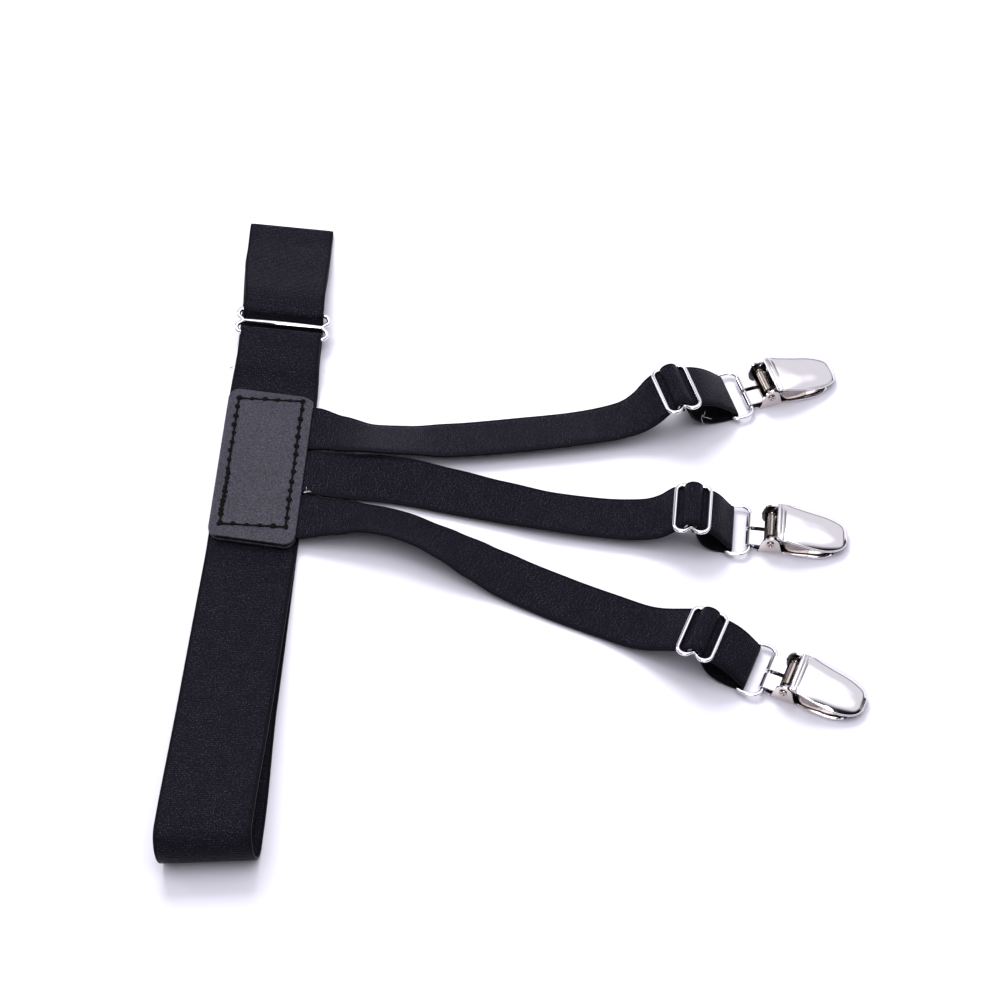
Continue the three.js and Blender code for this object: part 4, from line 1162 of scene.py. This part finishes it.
def clip_base():
    """The clip's floor with its turned-up lip, ears and curled tabs."""
    rear, front = PIN_SETBACK - EAR_FOOT, CLIP_LENGTH - FLOOR_SETBACK
    table = [(rear + 0.5 + (front - rear - 0.5) * a, EAR_FACE * b) for a, b in FLOOR_TABLE]
    rows = rail([(rear, EAR_FACE), *table], 6)[0]
    middle = []
    across = [math.sin(share * math.pi / 2) for share in np.linspace(-1, 1, 25)]
    for x, half in rows:
        height = SHEET / 2 + FLOOR_LIP * ease(x, front - LIP_START, front + LIP_END)
        curl = FLOOR_CURL * ease(x, CURL_START, CURL_FULL)
        middle.append([(x, half * share, height + curl * abs(share) ** 8) for share in across])
    floor = thick_sheet(np.array(middle), SHEET)
    top = arc(PIN_SETBACK, PIN_HEIGHT, EAR_RADIUS, 12, 168, 20)
    ear = [(rear + 0.1, SHEET / 2), (rear + 2 * EAR_FOOT - 0.1, SHEET / 2), *map(tuple, top)]
    ears = [plate(ear, SHEET, standing(y)) for y in (EAR_FACE - SHEET, -EAR_FACE)]
    curl = RING_WIRE / 2 + WIRE_CLEARANCE + SHEET / 2
    tab_width = EAR_FACE - TAB_SLOT / 2 - SHEET - 0.2
    line = np.vstack([
        [(rear + 1, SHEET / 2), (rear - 0.6, SHEET / 2), (curl * 0.55, RING_Z - curl * 0.92)],
        arc(0, RING_Z, curl, -90, -270, 20),
        [(TAB_FLAP * 0.6, RING_Z + curl), (TAB_FLAP, RING_Z + curl - 0.25)],
    ])
    tabs = []
    for side in (-1, 1):
        centre = side * (TAB_SLOT + tab_width) / 2
        grid = [[(run, centre + share * tab_width / 2, z) for share in np.linspace(-1, 1, 5)]
                for run, z in line]
        tabs.append(thick_sheet(np.array(grid), SHEET))
    # The floor's top between the ears, under the pin and the cover, takes the dark nickel as painted shade
    floor_finish = []
    for face in floor[1]:
        x, y, z = floor[0][list(face)].mean(axis=0)
        inside = z > SHEET * 0.9 and abs(y) < EAR_FACE - SHEET and x < PIN_SETBACK + EAR_FOOT * 1.6
        floor_finish.append("dull" if inside else "nickel")
    # The ears' inner faces take the dark nickel as painted shade; their outer faces are satin
    far = ["dull", "warm"] + ["nickel"] * len(ear)
    near = ["warm", "dull"] + ["nickel"] * len(ear)
    return combined([
        (floor, floor_finish), (ears[0], far), (ears[1], near), (tabs[0], "nickel"), (tabs[1], "nickel")])


def clip_pin():
    """The rivet through the ears, spread hollow at both ends."""
    outer = EAR_FACE + WIRE_CLEARANCE
    side = [(0, outer - 0.5), (0.5, outer - 0.4), (0.72, outer + 0.35), (1.0, outer + 0.55),
            (1.45, outer + 0.4), (1.75, outer + 0.05), (1.7, outer - 0.05), (PIN_DIAMETER / 2, outer - 0.05)]
    side += [(PIN_DIAMETER / 2, BARREL_FACE + 0.2), (1.45, BARREL_FACE + 0.1), (1.55, BARREL_FACE - 0.3),
             (1.35, BARREL_FACE - 0.6), (PIN_DIAMETER / 2, BARREL_FACE - 0.75)]
    profile = side + [(radius, -y) for radius, y in reversed(side)]
    return combined([(around_pin(profile, 28), "inner")])


def clip_jaw():
    """The inner jaw: a pressed tongue on its barrel, with a wing and a cheek up each side."""
    rows = sheet_rows(JAW_TABLE, PIN_SETBACK + 0.3, CLIP_LENGTH - 2.8, BARREL_FACE, COVER_HEIGHT, 6)
    tongue = thick_sheet(pressed(rows, 16), SHEET)
    hole, outer = PIN_HOLE / 2, BARREL_RADIUS * 0.9
    barrel = around_pin([(hole, -BARREL_REACH), (outer, -BARREL_REACH), (outer, BARREL_REACH),
                         (hole, BARREL_REACH)], 32, True)
    parts = [(tongue, "inner"), (barrel, "inner")]
    for table, thickness, coat in ((WING_TABLE, 0.55, "inner"), (CHEEK_TABLE, 0.5, "warm")):
        for side in (-1, 1):
            grid = [[(x, side * (y - 0.25 * (1 - up)), low + (high - low) * up)
                     for up in np.linspace(0, 1, 6)] for x, low, high, y in rail(table, 5)[0]]
            parts.append((thick_sheet(np.array(grid), thickness), coat))
    return combined(parts)


def clip_cover():
    """The flip-up cover: a domed sheet with a rolled hem and rim, on arms from the pin."""
    rows = sheet_rows(COVER_TABLE, COVER_SETBACK, CLIP_LENGTH, CLIP_WIDTH / 2, COVER_HEIGHT, 18)
    middle = pressed(rows, 40, cover_ridge)
    dome = thick_sheet(middle, SHEET)
    rim_line = np.vstack([middle[:, 0], middle[-1, 1:-1], middle[::-1, -1]])
    rim_line = rim_line - (0, 0, RIM_DROP)
    spaced = [rim_line[0]]
    for point in rim_line[1:]:
        if np.linalg.norm(point - spaced[-1]) > RIM_SPACING:
            spaced.append(point)
    rim = tube(spaced, RIM_RADIUS, 12)
    top = COVER_HEIGHT * 0.93
    hem_half = EAR_FACE * 0.97
    hem_line = [(COVER_SETBACK + SHEET * 0.4, y, top) for y in np.linspace(-hem_half, hem_half, 9)]
    hem = tube(hem_line, SHEET * 0.85, 20)
    arm = [(COVER_SETBACK + 0.2, top), *map(tuple, arc(PIN_SETBACK, PIN_HEIGHT, BARREL_RADIUS, 150, 330, 24)),
           (COVER_SETBACK + 3.4, top * 0.86), (COVER_SETBACK + 3.2, top)]
    arms = [plate(arm, SHEET, standing(y)) for y in (ARM_FACE - SHEET, -ARM_FACE)]
    # Both faces of the arms, under the cover, take the dark nickel as painted shade
    return combined([
        (dome, "nickel"), (rim, "nickel"), (hem, "nickel"),
        *[(shape, ["dull", "dull"] + ["nickel"] * len(arm)) for shape in arms]])


# Settings

class StaySizes(bpy.types.PropertyGroup):
    """Sizes of the finish."""
    rib_pitch: FloatProperty(
        name="Rib pitch", description="Distance between the webbing's crosswise ribs as drawn",
        default=0.0010, min=0.0003, max=0.003, precision=5, unit="LENGTH")
    speck_size: FloatProperty(
        name="Speck size", description="Size of the glinting floats in the weave as drawn",
        default=0.0007, min=0.0002, max=0.003, precision=5, unit="LENGTH")
    grain_size: FloatProperty(
        name="Grain size", description="Size of the leather's pebbles as drawn",
        default=0.0008, min=0.0002, max=0.003, precision=5, unit="LENGTH")
    stitch_pitch: FloatProperty(
        name="Stitch pitch", description="Distance between the holes of the patch's stitches",
        default=0.0049, min=0.002, max=0.01, precision=5, unit="LENGTH")
    thread: FloatProperty(
        name="Thread", description="Diameter of the sewing thread",
        default=0.00095, min=0.0002, max=0.002, precision=5, unit="LENGTH")
    knot: FloatProperty(
        name="Knot", description="Length of the thread seen at a stitch hole",
        default=0.0027, min=0.0005, max=0.004, precision=5, unit="LENGTH")
    wire_sides: IntProperty(
        name="Wire sides", description="Facets round a wire", default=20, min=8, max=48)
    floor: FloatProperty(
        name="Floor", description="Width of the floor under the stay",
        default=6.0, min=1, max=20, unit="LENGTH")


def colour_property(name, description, code):
    """A colour setting whose default is an sRGB hex code."""
    return FloatVectorProperty(
        name=name, description=description, default=linear(code), min=0, max=1, subtype="COLOR")


class StayColours(bpy.types.PropertyGroup):
    """Colours of the finish."""
    webbing: colour_property("Webbing", "Ground of the elastic webbing", "#08070e")
    # Light specks painted on the webbing's floats: painted highlight
    webbing_painted_glint: colour_property("Webbing glint", "Floats that catch the light", "#42404f")
    selvage: colour_property("Selvage", "Smooth edges of the webbing", "#08070c")
    leather: colour_property("Leather", "Pressed charcoal leather", "#0e0d15")
    # Lighter leather for the rubbed tone, which is random, and for the highlight painted on the pebble crowns
    leather_rubbed_and_highlit: colour_property("Rubbed and highlit leather", "Leather where it is rubbed, and its pebble crowns painted lighter as highlight", "#3d3b49")
    thread: colour_property("Thread", "Stitches of the patch and the seams", "#020203")
    fluff: colour_property("Loose thread", "Cut ends of white thread", "#d9dcdf")
    nickel: colour_property("Nickel", "Bright nickel plate", "#ebe8ec")
    inner_nickel: colour_property("Inner nickel", "Unpolished plate inside the clips", "#b5aaa3")
    warm_nickel: colour_property("Satin nickel", "Satin faces of the ears and the jaw", "#e2d9d4")
    # Dark nickel painted where shade falls inside the clips
    painted_shade_nickel: colour_property("Dull nickel", "Faces inside the clips darkened as painted shade", "#4a4544")
    floor: colour_property("Floor", "Matt white floor", "#cecdd6")


# Stage

# The camera: what it looks at in millimetres, how far it is turned and raised in degrees, how far off it
# stands and its lens, both in millimetres
CAMERA_TARGET = (107.2, -8.35, 0)
CAMERA_TURN = 4
CAMERA_RISE = 54
CAMERA_DISTANCE = 1301.68
CAMERA_LENS = 104.87

# Lamps: name, place and size in metres, power in watts, whether the metal mirrors it, whether it lights
LAMPS = (
    ("Back softbox", (-0.3, 1.0, 1.25), (0.8, 0.6), 30, False, True),
    ("Left strip light", (-1.0, 0.35, 1.0), (0.35, 1.2), 4, True, True),
    ("Overhead softbox", (0.15, 0.1, 1.7), (0.9, 0.8), 4, False, True),
    ("Glint over the camera's shoulder", (0.05, -1.45, 0.9), (0.9, 0.4), 10, True, False),
)
LAMP_TARGET = (0.08, -0.01, 0)


# Operators

class STAY_OT_stage(bpy.types.Operator):
    """Set the camera, the white floor and the soft lights"""
    bl_idname = "stay.stage"
    bl_label = "Stage"

    def execute(self, context):
        scene = context.scene
        turn, rise = math.radians(CAMERA_TURN), math.radians(CAMERA_RISE)
        back = Vector((math.sin(turn) * math.cos(rise), -math.cos(turn) * math.cos(rise), math.sin(rise)))
        camera = bpy.data.objects.new("Camera", bpy.data.cameras.new("Camera"))
        scene.collection.objects.link(camera)
        camera.location = (Vector(CAMERA_TARGET) + back * CAMERA_DISTANCE) * MM
        camera.rotation_euler = (-back).to_track_quat("-Z", "Y").to_euler()
        camera.data.sensor_width = 36
        camera.data.lens = CAMERA_LENS
        camera.data.clip_start = 0.05
        scene.camera = camera

        half = scene.stay_sizes.floor / 2
        mesh = bpy.data.meshes.new("floor")
        corners = [(-half, -half, 0), (half, -half, 0), (half, half, 0), (-half, half, 0)]
        mesh.from_pydata(corners, [], [(0, 1, 2, 3)])
        mesh.materials.append(finish("floor"))
        floor = bpy.data.objects.new("floor", mesh)
        scene.collection.objects.link(floor)

        for name, place, (width, height), power, mirrored, lighting in LAMPS:
            data = bpy.data.lights.new(name, "AREA")
            data.shape = "RECTANGLE"
            data.size, data.size_y = width, height
            data.energy = power
            lamp = bpy.data.objects.new(name, data)
            lamp.location = place
            lamp.visible_glossy = mirrored
            lamp.visible_diffuse = lighting
            aim = Vector(LAMP_TARGET) - Vector(place)
            lamp.rotation_euler = aim.to_track_quat("-Z", "Y").to_euler()
            scene.collection.objects.link(lamp)

        world = bpy.data.worlds.new("Studio")
        world.use_nodes = True
        tree = world.node_tree
        tree.nodes.clear()
        place = add_node(tree, "ShaderNodeTexCoord", output="Generated")
        parts = add_node(tree, "ShaderNodeSeparateXYZ", {0: place}).node.outputs
        # The studio is dark behind the camera and along the horizon, and pale above and behind the stay
        lean = parts["Z"]
        for side, slope in (("MINIMUM", 0.75), ("MAXIMUM", 0.14)):
            reach = add_node(tree, "ShaderNodeMath", {0: parts["Y"], 1: 0.0}, operation=side)
            lean = add_node(tree, "ShaderNodeMath", {0: reach, 1: slope, 2: lean}, operation="MULTIPLY_ADD")
        bright = add_node(tree, "ShaderNodeMapRange", {
            "Value": lean, "From Min": 0.06, "From Max": 0.36}, interpolation_type="SMOOTHSTEP")
        colour = add_node(tree, "ShaderNodeMix", {
            "Factor": bright, 6: rgba(linear("#1b1a1f")), 7: rgba(linear("#fbf9ff"))}, 2, data_type="RGBA")
        # A soft field of light overhead glazes the webbing and the clips, and a dark flag far left deepens
        # what the leg band and the leather mirror
        fields = (((0.1, 0.08, 1.0), 0.7, 0.99, 1.5), ((-0.436, 0.532, 0.726), 0.875, 0.951, -0.7))
        strength = 0.92
        for way, edge, core, power in fields:
            facing = add_node(tree, "ShaderNodeVectorMath", {
                0: place, 1: Vector(way).normalized()}, "Value", operation="DOT_PRODUCT")
            field = add_node(tree, "ShaderNodeMapRange", {
                "Value": facing, "From Min": edge, "From Max": core, "To Min": 0.0, "To Max": power},
                interpolation_type="SMOOTHSTEP")
            strength = add_node(tree, "ShaderNodeMath", {0: field, 1: strength}, operation="ADD")
        sky = add_node(tree, "ShaderNodeBackground", {"Color": colour, "Strength": strength})
        add_node(tree, "ShaderNodeOutputWorld", {"Surface": sky})
        scene.world = world
        scene.view_settings.view_transform = "Standard"
        scene.view_settings.look = "None"
        return {"FINISHED"}


class STAY_OT_leg_band(bpy.types.Operator):
    """Make the leg band of woven elastic"""
    bl_idname = "stay.leg_band"
    bl_label = "Leg band"

    def execute(self, context):
        stations = band_stations()
        piece = webbing_piece("leg_band_webbing", stations, BAND_THICKNESS, BAND_WIDTH, finish("webbing"))
        dress(piece, "root", "webbing", "leg_band")
        return {"FINISHED"}


class STAY_OT_straps(bpy.types.Operator):
    """Make the three elastic straps"""
    bl_idname = "stay.straps"
    bl_label = "Straps"

    def execute(self, context):
        for name, strap in STRAPS.items():
            stations = strap_stations(strap)
            piece = webbing_piece(
                f"strap_{name}_webbing", stations, STRAP_THICKNESS, STRAP_WIDTH, finish("webbing"))
            dress(piece, "root", "webbing", f"strap_{name}")
        return {"FINISHED"}


class STAY_OT_patch(bpy.types.Operator):
    """Make the leather patch's cover and lining"""
    bl_idname = "stay.patch"
    bl_label = "Leather patch"

    def execute(self, context):
        pitch = context.scene.stay_sizes.stitch_pitch / MM
        points, faces = patch_ply(
            PATCH_Z, leather_sag, lambda x, y: leather_relief(x, y, pitch), COVER_GRID)
        cover = new_piece("patch_leather_cover", points, faces, finish("leather"), 50)
        dress(cover, "root", "leather", "patch_leather")
        points, faces = patch_ply(LINING_Z, lambda x, y: 0 * x, lambda x, y: 0 * x, LINING_GRID)
        lining = new_piece("patch_leather_lining", points, faces, finish("leather"), 50)
        dress(lining, "root", "leather", "patch_lining")
        return {"FINISHED"}


class STAY_OT_stitches(bpy.types.Operator):
    """Sew the patch's stitches and their knots"""
    bl_idname = "stay.stitches"
    bl_label = "Stitches"

    def execute(self, context):
        sizes = context.scene.stay_sizes
        pitch = sizes.stitch_pitch / MM
        radius = sizes.thread / MM / 2
        samples = 8
        sides, overlap = stitch_sides()
        knots, threads = [], []
        for start, end in sides + [overlap]:
            start, end = np.array(start, float), np.array(end, float)
            length = np.linalg.norm(end - start)
            stitches = round(length / pitch)
            shares = np.linspace(0, 1, stitches * samples + 1)
            line = start + (end - start) * shares[:, None]
            top = cover_top(line[:, 0], line[:, 1], pitch)
            wave = np.sin(shares * stitches * math.pi) ** 2
            threads.append((np.column_stack([line, top + THREAD_LIFT + THREAD_ARCH * wave]), radius, False))
            holes = np.column_stack([line, top + KNOT_LIFT])[::samples]
            knots.append((holes, 0, False))
        thread = wire_piece("patch_stitch_thread", threads, "thread", 8)
        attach(thread, "root")
        sewn = run_tree(path_piece("patch_stitch_knots", knots), knot_tree(finish("thread")), {
            "Stitch Pitch": sizes.stitch_pitch * 0.995, "Knot Length": sizes.knot, "Slant": 0.6, "Seed": 7})
        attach(sewn, "root")
        return {"FINISHED"}


class STAY_OT_loose_threads(bpy.types.Operator):
    """Leave the cut thread ends at the patch, the band and a strap"""
    bl_idname = "stay.loose_threads"
    bl_label = "Loose threads"

    def execute(self, context):
        draw = random.Random(11)

        def wisp(start, way, length, curl):
            """A curling thread end from a point in millimetres."""
            at, way = np.array(start, float), np.array(way, float) / np.linalg.norm(way)
            line = [at.copy()]
            for _ in range(8):
                way += np.array([draw.uniform(-curl, curl) for _ in range(3)])
                way /= np.linalg.norm(way)
                at = at + way * length / 8
                line.append(at.copy())
            return rail(line, 3)[0]

        white, black = [], []
        for _ in range(3):
            white.append((wisp((20.2, -15.6, 7.0), (0.5, 0.25, 0.15), 3.4, 0.45), 0.09, False))
        for side, x in ((-1, -20.4), (1, 20.3)):
            for _ in range(4):
                start = (x, 55.5 + draw.uniform(-1.2, 1.2), 4.6)
                line = wisp(start, (side, draw.uniform(-0.8, 0.5), -0.05), draw.uniform(1.4, 2.6), 0.35)
                (white if side > 0 else black).append((line, 0.07, False))
        matrix = strap_place(STRAPS["upper"])
        for _ in range(3):
            local = wisp((9.5, -10.2, 8.5), (-0.2, -0.75, 0.1), 5.5, 0.5)
            white.append((moved(local, matrix), 0.1, False))
        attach(wire_piece("loose_white_threads", white, "fluff", 6), "root")
        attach(wire_piece("loose_black_threads", black, "thread", 6), "root")
        return {"FINISHED"}


class STAY_OT_slides(bpy.types.Operator):
    """Make the wire slides of the band and the straps"""
    bl_idname = "stay.slides"
    bl_label = "Slides"

    def execute(self, context):
        sides = context.scene.stay_sizes.wire_sides
        matrix = (Matrix.Translation((0, BAND_SLIDE_REACH, BAND_SLIDE_HEIGHT))
                  @ Matrix.Rotation(math.pi / 2 + math.radians(BAND_SLIDE_TURN), 4, "Z")
                  @ Matrix.Rotation(-math.radians(BAND_SLIDE_TILT), 4, "Y"))
        paths = slide_paths(BAND_SLIDE_WIDTH, BAND_SLIDE_LENGTH, BAND_SLIDE_WIRE, 0.45)
        piece = wire_piece("band_slide_wire", carried(paths, matrix), "nickel", sides)
        dress(piece, "root", "nickel", "band_slide")
        for name, strap in STRAPS.items():
            matrix = strap_place(strap) @ Matrix.Translation((0, -SLIDE_SHRINK * 0.3, strap["rise"]))
            paths = slide_paths(SLIDE_WIDTH - SLIDE_SHRINK, SLIDE_LENGTH, SLIDE_WIRE, 0)
            piece = wire_piece(f"strap_slide_{name}_wire", carried(paths, matrix), "nickel", sides)
            dress(piece, "root", "nickel", f"strap_slide_{name}")
        return {"FINISHED"}


class STAY_OT_rings(bpy.types.Operator):
    """Make the wire rings between the straps and the clips"""
    bl_idname = "stay.rings"
    bl_label = "Rings"

    def execute(self, context):
        for name, strap in STRAPS.items():
            matrix = strap_place(strap) @ Matrix.Translation((strap["drop"], 0, RING_Z))
            sides = context.scene.stay_sizes.wire_sides
            piece = wire_piece(f"ring_{name}_wire", carried(ring_path(), matrix), "nickel", sides)
            dress(piece, f"ring_body_{name}", "nickel", f"ring_{name}")
        return {"FINISHED"}


class STAY_OT_clips(bpy.types.Operator):
    """Make the metal clips with their flip-up covers"""
    bl_idname = "stay.clips"
    bl_label = "Clips"

    def execute(self, context):
        parts = (
            ("clip_base", clip_base(), "clip_body", 0.2),
            ("clip_pin", clip_pin(), "clip_body", 0),
            ("clip_jaw", clip_jaw(), "lever_body", 0.12),
            ("clip_cover", clip_cover(), "lever_body", 0.16),
        )
        for name, strap in STRAPS.items():
            matrix = strap_place(strap) @ Matrix.Translation((strap["drop"] + RING_LENGTH - RING_WIRE, 0, 0))
            for part, (points, faces, finishes), body, bevel in parts:
                used = list(dict.fromkeys(finishes))
                piece = new_piece(f"{part}_{name}_sheet", moved(points, matrix), faces, finish(used[0]), 42)
                for other in used[1:]:
                    piece.data.materials.append(finish(other))
                piece.data.polygons.foreach_set("material_index", [used.index(coat) for coat in finishes])
                if bevel:
                    plain_mesh(with_bevel(piece, bevel))
                dress(piece, f"{body}_{name}", "nickel", f"{part}_{name}")
        return {"FINISHED"}


class STAY_PT_panel(bpy.types.Panel):
    """Lists the pieces of the stay and its settings"""
    bl_label = "Shirt Stay"
    bl_idname = "STAY_PT_panel"
    bl_space_type = "VIEW_3D"
    bl_region_type = "UI"
    bl_category = "Shirt Stay"

    def draw(self, context):
        for operator in OPERATORS:
            self.layout.operator(operator.bl_idname)
        for group in (context.scene.stay_sizes, context.scene.stay_colours):
            for key in group.__annotations__:
                self.layout.prop(group, key)


OPERATORS = (
    STAY_OT_stage, STAY_OT_leg_band, STAY_OT_straps, STAY_OT_patch, STAY_OT_stitches, STAY_OT_loose_threads,
    STAY_OT_slides, STAY_OT_rings, STAY_OT_clips,
)
CLASSES = (StaySizes, StayColours, *OPERATORS, STAY_PT_panel)


def register():
    """Registers the classes and the settings."""
    for cls in CLASSES:
        bpy.utils.register_class(cls)
    bpy.types.Scene.stay_sizes = PointerProperty(type=StaySizes)
    bpy.types.Scene.stay_colours = PointerProperty(type=StayColours)


def unregister():
    """Removes what register adds."""
    del bpy.types.Scene.stay_colours
    del bpy.types.Scene.stay_sizes
    for cls in reversed(CLASSES):
        bpy.utils.unregister_class(cls)


def main():
    """Makes every piece in order."""
    register()
    bpy.ops.stay.stage()
    bpy.ops.stay.leg_band()
    bpy.ops.stay.straps()
    bpy.ops.stay.patch()
    bpy.ops.stay.stitches()
    bpy.ops.stay.loose_threads()
    bpy.ops.stay.slides()
    bpy.ops.stay.rings()
    bpy.ops.stay.clips()


if __name__ == "__main__":
    main()
